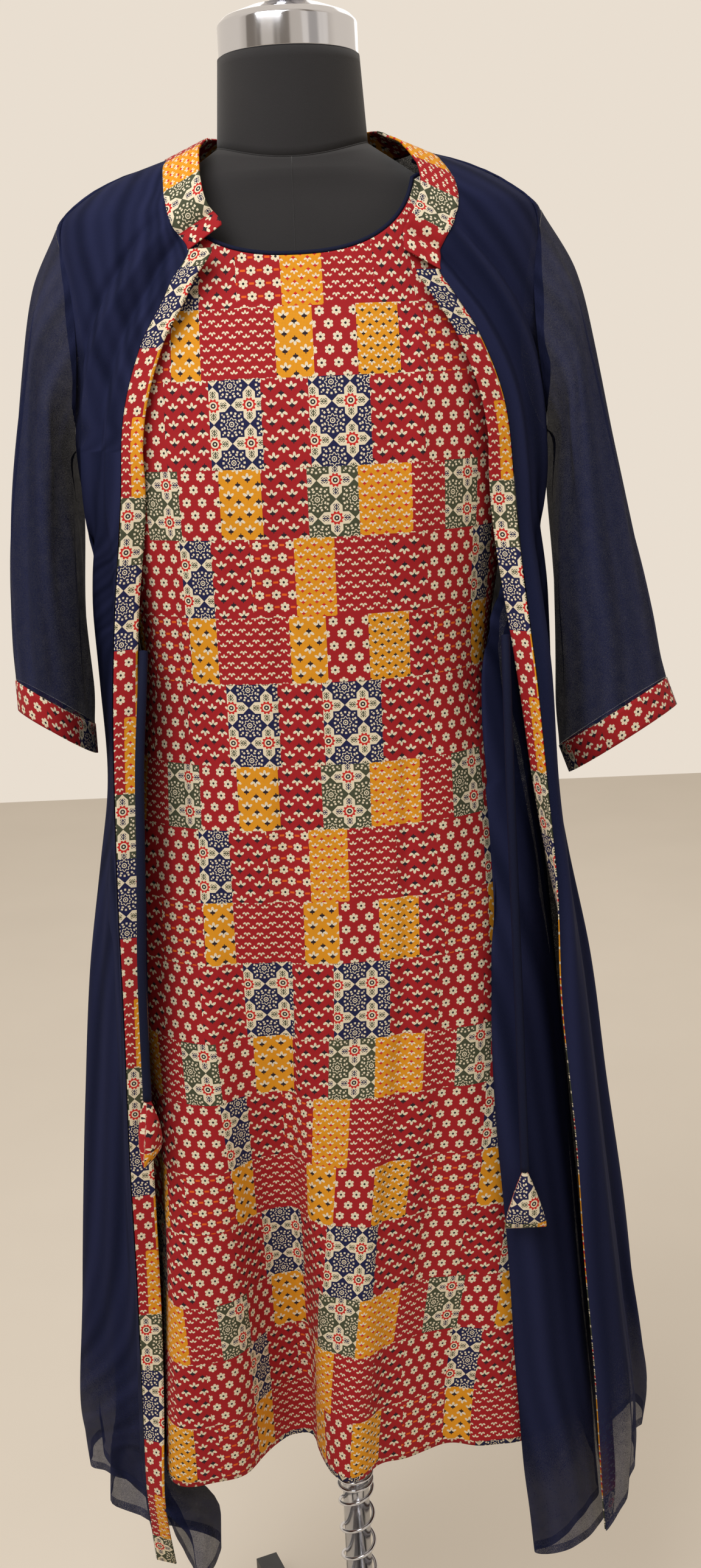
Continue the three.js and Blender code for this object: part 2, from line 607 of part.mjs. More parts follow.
// Plan curve of a front panel below the armhole, from the band's seam to the side seam.
function frontPlan(side, z) {
  const table = side < 0 ? LEFT_SKIRT : RIGHT_SKIRT;
  const value = (name) => at(table, z, name);
  const ring = ringAt(KURTI, z);
  const near = (x) => Math.abs(angleAtX(ring, side * x));
  const [edgeX, edgeY, outerX] = [value("edgeX"), value("edgeY"), value("outerX")];
  const span = outerX - edgeX;
  const beside = (angle, out) => besideKurti(side * angle, z, out);
  const fluteIn = near(value("fluteIn"));
  const fluteOut = near(value("fluteOut"));
  const shape = side < 0 ? LEFT_PLAN : RIGHT_PLAN;
  const under = side < 0 ? smooth((KURTI_HEM_Z - UNDER_HEM.below - z) / UNDER_HEM.within) : 0;
  return [
    new THREE.Vector2(side * edgeX, -edgeY),
    new THREE.Vector2(side * (edgeX + span * shape.across), -edgeY * (1 - shape.back)),
    new THREE.Vector2(side * (edgeX + span * BEFORE_WIDEST.across), -edgeY * BEFORE_WIDEST.y),
    new THREE.Vector2(side * outerX, WIDEST_Y),
    new THREE.Vector2(side * (outerX - BEHIND_WIDEST.inward), WIDEST_Y + BEHIND_WIDEST.back),
    beside(TURN_UNDER_ANGLE, LAYER_FAR),
    beside(mix(fluteOut, 90, 0.5), mix(shape.over, UNDER_HEM.over, under)),
    beside(fluteOut, mix(shape.bulge, UNDER_HEM.bulge, under)),
    beside(mix(fluteIn, fluteOut, FLUTE_MIDDLE), mix(shape.bulge + 2, UNDER_HEM.bulge, under)),
    beside(fluteIn, mix(LAYER_NEAR + 1, UNDER_HEM.inner, under)),
    beside(mix(fluteIn, 90, FLUTE_ROOT), mix(LAYER_NEAR - 1, UNDER_HEM.root, under)),
    beside(UNDER_ANGLE, LAYER_NEAR),
    beside(SEAM_ANGLE, LAYER_NEAR + 3),
  ];
}

function sideSeam(side, z) {
  const plan = frontPlan(side, z);
  return plan[plan.length - 1];
}

// Front edge of the jacket, then the collar's seam above it, as an angle on the yoke ring.
function edgeAngle(side, z) {
  const x = at(FRONT_EDGE, z, side < 0 ? "leftX" : "rightX");
  return Math.abs(angleAtX(ringAt(YOKE, z), side * x));
}

// How far the jacket's hem is drawn up between the band and the side.
function hemRise(side, t, z) {
  const lift = side < 0 ? HEM_RISE.left : HEM_RISE.right;
  const grown = clamp01((HEM_RISE.fromZ - z) / (HEM_RISE.fromZ - JACKET_HEM_Z));
  return lift * grown * smooth(t / 0.1) * (1 - smooth((t - 0.28) / 0.16));
}

function skirtRow(side, z, places) {
  const curve = new THREE.SplineCurve(frontPlan(side, z));
  const grown = smooth((FOLD_TOP_Z - z) / (FOLD_TOP_Z - FOLD_FULL_Z));
  const ring = ringAt(YOKE, z);
  const seam = sideSeam(side, z);
  return places.map((t) => {
    const folded = curve.getPoint(t);
    if (grown >= 1) return new THREE.Vector3(folded.x, folded.y, z + hemRise(side, t, z));
    const plain = ringPoint(ring, side * mix(edgeAngle(side, z), SEAM_ANGLE, t), z);
    const x = mix(mix(plain.x, seam.x, t ** 6), folded.x, grown);
    const y = mix(mix(plain.y, seam.y, t ** 6), folded.y, grown);
    return new THREE.Vector3(x, y, z);
  });
}

// side is -1 for the panel at -X. Columns run from the band to the side seam.
function jacketFront(side) {
  const columns = halfColumns(FRONT_STEPS - SHOULDER_SPANS);
  const places = columns.map((c, i) => i / FRONT_STEPS);
  const rows = upperRows(JACKET_ARMHOLE);
  const startZ = rows[0].z;
  const tipZ = rows[rows.length - 1].z;
  const frontZ = side < 0 ? JACKET_NECK.leftZ : JACKET_NECK.rightZ;
  const grid = SKIRT_ROWS.map((z) => skirtRow(side, z, places));
  for (const row of rows) {
    grid.push(columns.map((c, i) => {
      const t = places[i];
      const neckZ = mix(frontZ, JACKET_NECK.sideZ, c.neck);
      const z = mix(startZ, mix(neckZ, tipZ, c.shoulder), row.part);
      const lowEdge = edgeAngle(side, startZ);
      const topAngle = c.neck === 1 ? 90 : edgeAngle(side, neckZ);
      const lowAngle = mix(lowEdge, 90, t);
      const edgeZ = mix(startZ, frontZ, row.part);
      const straight = mix(lowEdge, edgeAngle(side, frontZ), row.part);
      const led = (edgeAngle(side, edgeZ) - straight) * (1 - t) ** 3;
      const angle = columnAngle(YOKE, JACKET_ARMHOLE, false, row, t, lowAngle, topAngle) + led;
      return ringPoint(ringAt(YOKE, z), side * angle, z);
    }));
  }
  return grid;
}

// Below the armholes the back runs from one side seam round to the other.
function backSkirtRow(z, places) {
  const depth = at(JACKET_BACK, z, "depth");
  return places.map((t) => {
    const seam = sideSeam(t < 0 ? -1 : 1, z);
    const s = Math.sin(radians(Math.abs(t) * 90)) ** 0.8;
    const c = Math.cos(radians(t * 90)) ** 0.8;
    let push = 0;
    for (const fold of JACKET_BACK_FOLDS) {
      const grown = smooth((fold.startZ - z) / (fold.startZ - JACKET_HEM_Z));
      push += fold.push * grown * hump(t * 90 - fold.angle, fold.halfWidth);
    }
    push *= smooth((1 - Math.abs(t)) * 6);
    const x = Math.sign(t) * Math.abs(seam.x) * s;
    return new THREE.Vector3(x + push * s * Math.sign(t), mix(seam.y, depth, c) + push * c, z);
  });
}

// Columns run from the +X side seam to the -X side seam.
function jacketBack() {
  const columns = wholeColumns(7).reverse();
  const rows = upperRows(JACKET_ARMHOLE);
  const startZ = rows[0].z;
  const tipZ = rows[rows.length - 1].z;
  const grid = SKIRT_ROWS.map((z) => backSkirtRow(z, columns.map((c) => c.turned * c.u)));
  for (const row of rows) {
    grid.push(columns.map((c) => {
      const neckZ = mix(JACKET_NECK.backZ, JACKET_NECK.sideZ, c.neck ** 2);
      const z = mix(startZ, mix(neckZ, tipZ, c.shoulder), row.part);
      const topAngle = 90 * c.neck;
      const angle = columnAngle(YOKE, JACKET_ARMHOLE, true, row, c.u, 90 * c.u, topAngle);
      return ringPoint(ringAt(YOKE, z), 180 - c.turned * angle, z);
    }));
  }
  return grid;
}

// ---- sleeves ----
// Places round a sleeve: 0 is its top, 180 its inner side, the first half in front.
function armholeRing(front, back, side, edge) {
  const first = SKIRT_ROWS.length;
  const ring = [];
  for (let k = ARMHOLE_STEPS.length - 1; k >= 0; k--) {
    ring.push({ round: 180 - ARMHOLE_STEPS[k], forward: 1, point: front[first + k][edge.front] });
  }
  for (let k = 1; k < ARMHOLE_STEPS.length - 1; k++) {
    ring.push({ round: 180 - ARMHOLE_STEPS[k], forward: -1, point: back[first + k][edge.back] });
  }
  return ring.map((p) => ({ ...p, side }));
}

function sleeveRing(places, row) {
  return places.map(({ round, forward, side }) => {
    const c = Math.cos(radians(round));
    const s = Math.sin(radians(round)) * forward;
    const x = (row.outX + row.inX) / 2 + ((row.outX - row.inX) / 2) * c;
    const z = (row.outZ + row.inZ) / 2 + ((row.outZ - row.inZ) / 2) * c;
    return new THREE.Vector3(side * x, -row.forward - row.depth * s, z + row.hang * s);
  });
}

function sleeve(name, cuffName, places, table, side, lean) {
  const start = places.map((p) => p.point.clone().add(
    new THREE.Vector3(side * (CLOTH_WALL / 2 + 4 * SEAM_GAP), 0, 0),
  ));
  const down = new THREE.Vector3(side * Math.sin(radians(lean)), 0, -Math.cos(radians(lean)));
  const rings = [start, ...table.map((row) => sleeveRing(places, row))];
  const last = rings[rings.length - 1];
  for (const part of [0.5, 1]) {
    rings.push(last.map((p) => p.clone().addScaledVector(down, CUFF_HEIGHT * part)));
  }
  const normals = gridNormals(rings, column(rings, -1), column(rings, 0));
  const split = table.length;
  const cuffRings = rings.slice(split).map((ring) => ring.map((p) => p.clone()));
  cuffRings[0].forEach((p) => p.addScaledVector(down, 2 * SEAM_GAP));
  return [
    wall(name, rings.slice(0, split + 1), normals.slice(0, split + 1), true),
    wall(cuffName, cuffRings, normals.slice(split), true),
  ];
}

// ---- bands and collar ----
const LEFT_CUFF_LEAN = 0; // the cuffs run on down and this much outward
const RIGHT_CUFF_LEAN = 20;
const FOLD_STARTS = 80; // turned further than this, the band lies behind its front
const FOLDED_IN = 2.4; // air between a front and the band folded behind it

// Printed band along a front edge. turn 0 points to the middle, 90 to the back.
function frontBand(name, edgePoints, side) {
  const table = side < 0 ? LEFT_SKIRT : RIGHT_SKIRT;
  const grid = edgePoints.map((p) => {
    const turn = at(table, p.z, "turn");
    const way = new THREE.Vector3(
      -side * Math.cos(radians(turn)),
      Math.sin(radians(turn)),
      0,
    );
    const folded = smooth((turn - FOLD_STARTS) / 60);
    const inward = new THREE.Vector3(-side * 0.35, 0.94, 0).multiplyScalar(FOLDED_IN * folded);
    return [CLOTH_WALL / 2 + SEAM_GAP, BAND_WIDTH / 2, BAND_WIDTH].map((w) => p.clone()
      .addScaledVector(way, w).add(inward));
  });
  const ordered = side < 0 ? grid : grid.map((row) => [...row].reverse());
  return { mesh: wall(name, ordered, gridNormals(ordered)), grid };
}

const COLLAR_MIDDLE_X = 8;
const COLLAR_RISES_Y = -30; // behind this the collar starts to stand up
const COLLAR_RISE = 95;
const COLLAR_OPEN = { x: 1, y: 0.05, z: 0.42 }; // way of the open front, inward and up
const COLLAR_UP = { x: 0.8, y: 0.25, z: 0.75 };

// Band collar: lies open at the front and stands up round the back of the neck.
function collar(seam) {
  const rows = [CLOTH_WALL / 2 + SEAM_GAP, COLLAR_WIDTH / 2, COLLAR_WIDTH];
  const grid = rows.map((w) => seam.map((p) => {
    const inward = new THREE.Vector3(COLLAR_MIDDLE_X - p.x, -p.y, 0).normalize();
    const back = smooth((p.y - COLLAR_RISES_Y) / COLLAR_RISE);
    const way = new THREE.Vector3(
      inward.x * mix(COLLAR_OPEN.x, COLLAR_UP.x, back),
      inward.y * mix(COLLAR_OPEN.y, COLLAR_UP.y, back),
      mix(COLLAR_OPEN.z, COLLAR_UP.z, back),
    ).normalize();
    return p.clone().addScaledVector(way, w);
  }));
  return wall("collar", grid, gridNormals(grid));
}

function jacket() {
  const right = jacketFront(1);
  const back = jacketBack();
  const left = jacketFront(-1).map((row) => row.reverse());
  const top = right.length - 1;
  const seam = [
    ...right[top].slice(0, -SHOULDER_SPANS),
    ...neckPart(back).slice(1),
    ...left[top].slice(SHOULDER_SPANS + 1),
  ];
  const neckline = seam.map((p) => p.clone());
  const rightEdge = column(right, 0).map((p) => p.clone());
  const leftEdge = column(left, -1).map((p) => p.clone());
  const last = FRONT_STEPS;
  const leftPlaces = armholeRing(left, back, -1, { front: 0, back: back[0].length - 1 });
  const rightPlaces = armholeRing(right, back, 1, { front: last, back: 0 });
  const rightNormals = gridNormals(right, null, column(back, 1));
  const backNormals = gridNormals(back, column(right, -2), column(left, 1));
  const leftNormals = gridNormals(left, column(back, -2), null);
  const width = back[0].length;
  const steps = Array.from({ length: SHOULDER_SPANS + 1 }, (_, k) => k);
  sewShoulder(right, rightNormals, back, backNormals, steps.map((k) => [last - k, k]));
  sewShoulder(left, leftNormals, back, backNormals, steps.map((k) => [k, width - 1 - k]));
  trimSide(right, true);
  trimSide(back, false);
  trimSide(back, true);
  trimSide(left, false);
  const leftBand = frontBand("front_band_left", leftEdge, -1);
  const rightBand = frontBand("front_band_right", rightEdge, 1);
  return [
    wall("jacket_front_right", right, rightNormals),
    wall("jacket_back", back, backNormals),
    wall("jacket_front_left", left, leftNormals),
    ...sleeve("sleeve_left", "cuff_left", leftPlaces, LEFT_SLEEVE, -1, LEFT_CUFF_LEAN),
    ...sleeve("sleeve_right", "cuff_right", rightPlaces, RIGHT_SLEEVE, 1, RIGHT_CUFF_LEAN),
    leftBand.mesh,
    rightBand.mesh,
    collar(neckline),
    ...tie("left", LEFT_DORI, leftBand.grid, -1),
    ...tie("right", RIGHT_DORI, rightBand.grid, 1),
  ];
}

// ---- ties ----
// The tube starts beside the free edge of the band and hangs to the stuffed triangle.
function tie(sideName, line, bandGrid, side) {
  const j = bandGrid.findIndex((row) => row[0].z > DORI_START_Z);
  const [low, high] = [bandGrid[j - 1][2], bandGrid[j][2]];
  const start = low.clone().lerp(high, (DORI_START_Z - low.z) / (high.z - low.z));
  start.x -= side * (DORI_RADIUS + CLOTH_WALL / 2 + SEAM_GAP);
  const path = [start, ...line.map((p) => new THREE.Vector3(p.x, p.y, p.z))];
  const curve = new THREE.CatmullRomCurve3(path);
  const toward = new THREE.Vector3(1, 0, 0);
  const rings = Array.from({ length: 13 }, (_, i) => {
    const along = curve.getTangentAt(i / 12);
    return smallRing(curve.getPointAt(i / 12), along, DORI_RADIUS, 8, toward);
  });
  const end = path[path.length - 1];
  const turned = side < 0 ? LEFT_LATKAN_TURN : 0;
  return [loft(`dori_${sideName}`, rings), latkan(`latkan_${sideName}`, end, turned)];
}

// Stuffed triangle: narrow at the top, wide and pinched flat along its lower edge.
function latkan(name, hung, turned) {
  const rows = [
    { down: 0.6, width: 0.14, depth: 0.3 },
    { down: 12, width: 0.38, depth: 0.7 },
    { down: 28, width: 0.68, depth: 1 },
    { down: 42, width: 0.93, depth: 0.85 },
    { down: 50, width: 1, depth: 0.45 },
    { down: LATKAN_HEIGHT, width: 0.98, depth: 0.16 },
  ];
  return loft(name, rows.map((row) => Array.from({ length: 16 }, (_, k) => {
    const a = (2 * Math.PI * k) / 16;
    return new THREE.Vector3(
      ((row.width * LATKAN_WIDTH) / 2) * signedPower(Math.cos(a), 0.8),
      ((row.depth * LATKAN_DEPTH) / 2) * Math.sin(a),
      -row.down,
    ).applyAxisAngle(new THREE.Vector3(0, 0, 1), radians(turned)).add(hung);
  })));
}

// ---- dress form and stand ----
const circle = (radius, z, count = 32) => Array.from({ length: count }, (_, k) => {
  const a = (2 * Math.PI * k) / count;
  return new THREE.Vector3(radius * Math.sin(a), -radius * Math.cos(a), z);
});

function neckSeamRing(lift) {
  return circle(NECK_BASE_RADIUS, 0, 40).map((p) => {
    const forward = (p.y / NECK_BASE_RADIUS) ** 2;
    return p.setZ(NECK_SEAM_SIDE_Z - NECK_SEAM_DIP * forward + lift);
  });
}

function dressForm() {
  const rings = [...TORSO].reverse().map((row) => {
    const ring = { left: row.side, right: row.side, ...row };
    return Array.from({ length: 40 }, (_, k) => ringPoint(ring, k * 9, row.z));
  });
  const neckTop = circle(NECK_TOP_RADIUS, NECK_TOP_Z, 40);
  const capFoot = NECK_TOP_Z + SEAM_GAP;
  const bandTop = NECK_TOP_Z + CAP_BAND_HEIGHT;
  const ballZ = bandTop + 14 + SEAM_GAP + BALL_RADIUS;
  const ball = [];
  for (let latitude = -80; latitude <= 80; latitude += 16) {
    const a = radians(latitude);
    ball.push(circle(BALL_RADIUS * Math.cos(a), ballZ + BALL_RADIUS * Math.sin(a), 20));
  }
  return [
    loft("form_torso", [...rings, neckSeamRing(-SEAM_GAP)]),
    loft("form_neck", [neckSeamRing(0), neckTop]),
    loft("neck_cap", [
      circle(CAP_RADIUS, capFoot),
      circle(CAP_RADIUS, bandTop - 1.5),
      circle(CAP_RADIUS - 1.5, bandTop),
      circle(CAP_RADIUS - 9, bandTop + 7),
      circle(CAP_RADIUS - 24, bandTop + 12),
      circle(CAP_RADIUS - 42, bandTop + 14),
    ]),
    loft("finial_ball", ball),
  ];
}

function spring() {
  const foot = HUB_TOP_Z + SEAM_GAP + SPRING_WIRE;
  const closeCoils = 3;
  const closePitch = 8.5;
  const openTop = SPRING_TOP_Z - SPRING_WIRE - closeCoils * closePitch;
  const openCoils = 7;
  const perTurn = 14;
  const count = (openCoils + closeCoils) * perTurn;
  const place = (i) => {
    const turn = i / perTurn;
    const open = Math.min(turn, openCoils) / openCoils;
    const z = mix(foot, openTop, open) + Math.max(0, turn - openCoils) * closePitch;
    const a = 2 * Math.PI * turn;
    return new THREE.Vector3(SPRING_RADIUS * Math.cos(a), SPRING_RADIUS * Math.sin(a), z);
  };
  const rings = Array.from({ length: count + 1 }, (_, i) => {
    const along = new THREE.Vector3().subVectors(place(i + 0.5), place(i - 0.5)).normalize();
    return smallRing(place(i), along, SPRING_WIRE, 5, new THREE.Vector3(0, 0, 1));
  });
  rings[0].forEach((p) => { p.z = Math.max(p.z, HUB_TOP_Z + SEAM_GAP); });
  return loft("stand_spring", rings);
}

function stand() {
  const parts = [
    loft("stand_hub", [
      circle(HUB_RADIUS, 0),
      circle(HUB_RADIUS, HUB_FOOT_Z),
      circle(BOSS_RADIUS + 4, HUB_FOOT_Z + 8),
      circle(BOSS_RADIUS, HUB_FOOT_Z + 20),
      circle(BOSS_RADIUS, HUB_TOP_Z),
    ]),
    loft("stand_pole", [
      circle(POLE_RADIUS, HUB_TOP_Z + SEAM_GAP),
      circle(POLE_RADIUS, TORSO[TORSO.length - 1].z - SEAM_GAP),
    ]),
    spring(),
  ];
  for (let k = 0; k < 4; k++) {
    const inner = HUB_RADIUS + SEAM_GAP;
    const leg = new THREE.BoxGeometry(LEG_REACH - inner, LEG_WIDTH, LEG_HEIGHT);
    leg.translate((LEG_REACH + inner) / 2, 0, LEG_HEIGHT / 2);
    leg.rotateZ(radians(FIRST_LEG_AZIMUTH + 90 * k));
    const mesh = new THREE.Mesh(leg);
    mesh.name = `stand_leg_${k + 1}`;
    parts.push(mesh);
  }
  return parts;
}

// ---- colours ----
const FINISHES = [
  { nodes: /^kurti_(front|back)$/, color: 0x9e292b, roughness: 0.85, metalness: 0 },
  { nodes: /^(collar|cuff|front_band|latkan)/, color: 0xa84538, roughness: 0.85, metalness: 0 },
  { nodes: /^(jacket|sleeve)/, color: 0x141a33, roughness: 0.8, metalness: 0 },
  { nodes: /^(dori|kurti_neck_piping)/, color: 0x0a0d1c, roughness: 0.85, metalness: 0 },
  { nodes: /^form/, color: 0x1f1f21, roughness: 0.9, metalness: 0 },
  { nodes: /^(neck_cap|finial_ball|stand_pole|stand_spring)/, color: 0xd1d1d6, roughness: 0.2, metalness: 1 },
  { nodes: /^stand_(hub|leg)/, color: 0x080808, roughness: 0.5, metalness: 0 },
];

function finish(mesh) {
  const { color, roughness, metalness } = FINISHES.find((row) => row.nodes.test(mesh.name));
  mesh.material = new THREE.MeshStandardMaterial({ color, roughness, metalness });
}

const group = new THREE.Group();
group.add(...dressForm(), ...stand(), ...kurti(), ...jacket());
group.children.forEach(finish);
export default group;
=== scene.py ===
"""Jacket kurti on a dress form: the looks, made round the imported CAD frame.

The surfaces are worked out in millimetres from the same section tables as the CAD solids, at a finer
step and with the soft folds of cloth, and turned into metres when a mesh is made.
"""
import math

import bpy
import numpy as np
from mathutils import Matrix, Vector


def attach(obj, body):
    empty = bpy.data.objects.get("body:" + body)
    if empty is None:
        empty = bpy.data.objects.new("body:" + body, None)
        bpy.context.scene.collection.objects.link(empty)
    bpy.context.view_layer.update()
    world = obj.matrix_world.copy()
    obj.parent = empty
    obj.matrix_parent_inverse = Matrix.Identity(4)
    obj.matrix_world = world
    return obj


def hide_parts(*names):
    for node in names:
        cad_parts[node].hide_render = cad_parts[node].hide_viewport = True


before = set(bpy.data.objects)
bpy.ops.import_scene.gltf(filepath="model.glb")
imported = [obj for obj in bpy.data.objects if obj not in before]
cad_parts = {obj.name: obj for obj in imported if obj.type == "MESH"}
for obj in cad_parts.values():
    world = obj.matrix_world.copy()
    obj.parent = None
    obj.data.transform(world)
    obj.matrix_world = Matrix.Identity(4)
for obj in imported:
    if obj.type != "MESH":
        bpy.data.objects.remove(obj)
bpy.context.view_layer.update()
MM = 0.001

# ---- driving sizes, in millimetres ----
KURTI_HEM_Z = 460
JACKET_HEM_Z = 350
BAND_WIDTH = 20
COLLAR_WIDTH = 30
CUFF_HEIGHT = 25
PIPING_RADIUS = 1.6
DORI_RADIUS = 3.6
LATKAN_WIDTH = 35
LATKAN_DEPTH = 17
LATKAN_TURN = {"left": 74, "right": 0}
POLE_RADIUS = 12.7
SPRING_RADIUS = 16
SPRING_WIRE = 1.8
SPRING_TOP_Z = 365
SPRING_TURNS = 10
SPRING_OPEN_TURNS = 3  # its last turns are pulled open
SPRING_OPEN_PITCH = 8.5
HUB_TOP_Z = 120
HUB_RADIUS = 45
HUB_FOOT_Z = 35
BOSS_RADIUS = 22
NECK_TOP_Z = 1620
NECK_BASE_RADIUS = 59
NECK_TOP_RADIUS = 55
CAP_RADIUS = 54
CAP_BAND_HEIGHT = 24
CAP_DOME_HEIGHT = 14
BALL_RADIUS = 23.5
NECK_SEAM_SIDE_Z = 1556
NECK_SEAM_DIP = 14
SEAM_GAP = 0.3
TORSO_FOOT_Z = 850
TORSO_TOP_Z = 1532
CLOTH_COLUMNS = 181  # points across each big panel


def table(columns, *rows):
    """Named columns of a short table."""
    data = np.array(rows, float)
    return {name: data[:, k] for k, name in enumerate(columns.split())}


# ---- section tables, the same as the CAD solids' ----
TORSO = table(
    "z side front back power",
    (1532, 96, 68, 66, 1.8),
    (1517, 137, 71, 70, 1.7),
    (1500, 165, 77, 75, 1.75),
    (1482, 177, 83, 81, 1.9),
    (1446, 177, 95, 89, 2.1),
    (1400, 173, 110, 98, 2.3),
    (1350, 167, 119, 100, 2.3),
    (1300, 162, 122, 98, 2.3),
    (1250, 148, 112, 92, 2.3),
    (1200, 134, 102, 86, 2.3),
    (1150, 127, 95, 82, 2.3),
    (1100, 134, 98, 90, 2.3),
    (1050, 149, 104, 102, 2.3),
    (1000, 160, 107, 113, 2.3),
    (950, 165, 107, 118, 2.3),
    (900, 162, 104, 115, 2.3),
    (850, 154, 98, 107, 2.3),
)
KURTI = table(
    "z side front back power",
    (1545, 84, 70, 68, 1.85),
    (1539, 100, 74, 72, 1.8),
    (1526, 142, 82, 81, 1.75),
    (1509, 171, 89, 88, 1.8),
    (1491, 184, 96, 94, 1.95),
    (1442, 184, 107, 101, 2.2),
    (1400, 179, 117, 105, 2.3),
    (1350, 173, 126, 107, 2.3),
    (1300, 168, 129, 106, 2.3),
    (1220, 152, 124, 104, 2.35),
    (1150, 145, 120, 104, 2.4),
    (1060, 160, 120, 116, 2.4),
    (950, 176, 121, 127, 2.5),
    (700, 199, 125, 129, 2.6),
    (460, 218, 128, 132, 2.6),
    (340, 226, 130, 134, 2.6),
)
KURTI_FRONT_FOLDS = (
    {"top_x": -96, "hem_x": -126, "half": 36, "push": 38, "power": 2, "start_z": 1080},
    {"top_x": -62, "hem_x": -54, "half": 27, "push": -46, "power": 4, "start_z": 1080},
    {"top_x": 40, "hem_x": -2, "half": 20, "push": 24, "power": 2, "start_z": 900},
    {"top_x": 84, "hem_x": 88, "half": 34, "push": -18, "power": 2, "start_z": 980},
    {"top_x": -160, "hem_x": -188, "half": 28, "push": -28, "power": 2, "start_z": 1000},
)
KURTI_BACK_FOLDS = (
    {"angle": -44, "half": 13, "push": 12, "start_z": 1120},
    {"angle": -14, "half": 11, "push": -10, "start_z": 1120},
    {"angle": 12, "half": 12, "push": 12, "start_z": 1120},
    {"angle": 42, "half": 13, "push": -10, "start_z": 1120},
)
YOKE = table(
    "z left right front back power",
    (1562, 66, 68, 68, 68, 1.9),
    (1551, 92, 93, 76, 74, 1.8),
    (1538, 134, 135, 87, 87, 1.75),
    (1523, 166, 167, 96, 96, 1.8),
    (1502, 189, 193, 104, 103, 1.95),
    (1446, 190, 198, 114, 109, 2.2),
    (1400, 187, 197, 124, 113, 2.3),
    (1332, 185, 195, 136, 116, 2.3),
    (1230, 185, 195, 138, 120, 2.3),
    (1150, 185, 195, 138, 124, 2.3),
)
FRONT_EDGE = table(
    "z left_x right_x",
    (1551, 92, 93),
    (1538, 96, 110),
    (1514, 94, 122),
    (1492, 88, 119),
    (1476, 78, 110),
    (1455, 92, 106),
    (1440, 100, 115),
    (1410, 118, 134),
    (1360, 135, 153),
    (1300, 142, 160),
    (1190, 155, 168),
    (1080, 162, 178),
)
SKIRT_COLUMNS = "z edge_x edge_y outer_x flute_in flute_out turn"
LEFT_SKIRT = table(
    SKIRT_COLUMNS,
    (1332, 139, 104, 185, 128, 140, -28),
    (1230, 151, 110, 185, 128, 146, 22),
    (1140, 158, 118, 183, 133, 150, 20),
    (1060, 162, 124, 183, 138, 154, 14),
    (980, 165, 128, 195, 142, 158, 14),
    (880, 168, 128, 212, 146, 162, 12),
    (760, 173, 124, 226, 152, 168, 10),
    (640, 176, 122, 238, 158, 172, 8),
    (530, 179, 125, 248, 157, 167, -15),
    (450, 181, 129, 255, 148, 158, -32),
    (400, 182, 116, 257, 140, 154, -30),
    (350, 182, 103, 253, 126, 148, -20),
)
RIGHT_SKIRT = table(
    SKIRT_COLUMNS,
    (1332, 156, 104, 195, 132, 144, -28),
    (1230, 165, 110, 196, 129, 150, 28),
    (1140, 173, 118, 197, 128, 155, 48),
    (1060, 179, 124, 198, 129, 160, 62),
    (980, 185, 128, 209, 130, 163, 84),
    (880, 188, 128, 228, 131, 167, 138),
    (760, 199, 124, 242, 135, 173, 140),
    (640, 207, 116, 258, 140, 182, 140),
    (530, 216, 108, 270, 145, 190, 140),
    (450, 221, 102, 278, 150, 197, 138),
    (400, 224, 97, 282, 154, 202, 138),
    (350, 228, 92, 278, 158, 205, 120),
)
JACKET_BACK = table("z depth", (1332, 116), (1150, 124), (950, 142), (640, 152), (350, 162))
JACKET_BACK_FOLDS = (
    {"angle": -58, "half": 9, "push": 8, "start_z": 1250},
    {"angle": -36, "half": 8, "push": -10, "start_z": 1250},
    {"angle": -14, "half": 9, "push": 14, "start_z": 1300},
    {"angle": 10, "half": 9, "push": -10, "start_z": 1300},
    {"angle": 34, "half": 9, "push": 13, "start_z": 1250},
    {"angle": 58, "half": 8, "push": -8, "start_z": 1250},
)
KURTI_ARMHOLE = {"z": 1410, "half_height": 80, "half_depth": 50}
JACKET_ARMHOLE = {"z": 1417, "half_height": 85, "half_depth": 56}
SLEEVE_COLUMNS = "out_x out_z in_x in_z depth forward hang"
LEFT_SLEEVE = table(
    SLEEVE_COLUMNS,
    (208, 1456, 191, 1322, 60, 2, 0),
    (222, 1396, 190, 1290, 62, 6, 3),
    (234, 1322, 189, 1250, 62, 14, 6),
    (242, 1255, 189, 1204, 61, 22, 9),
    (245, 1200, 188, 1158, 60, 30, 13),
    (245, 1150, 187, 1111, 59, 36, 16),
)
RIGHT_SLEEVE = table(
    SLEEVE_COLUMNS,
    (217, 1454, 201, 1322, 58, 2, 0),
    (233, 1396, 200, 1288, 58, 4, 3),
    (248, 1322, 200, 1242, 56, 10, 5),
    (260, 1262, 200, 1190, 54, 16, 8),
    (273, 1204, 201, 1134, 51, 22, 11),
    (289, 1128, 201, 1074, 47, 28, 13),
)
DORI_START_Z = 1180
LEFT_DORI = ((-134, -119, 1150), (-139, -131, 1090), (-144, -135, 1000), (-149, -137, 920),
             (-152, -138, 818))
RIGHT_DORI = ((149, -112, 1140), (150, -119, 1040), (153, -124, 880), (155, -130, 736))


# ---- small helpers ----
def mix(a, b, t):
    """Value between a and b."""
    return a + (b - a) * t


def smooth(t):
    """Eased step from 0 to 1."""
    t = np.clip(t, 0, 1)
    return t * t * (3 - 2 * t)


def hump(distance, half_width, power=2):
    """1 at no distance, fading out past half_width."""
    return np.exp(-(np.abs(distance / half_width) ** power))


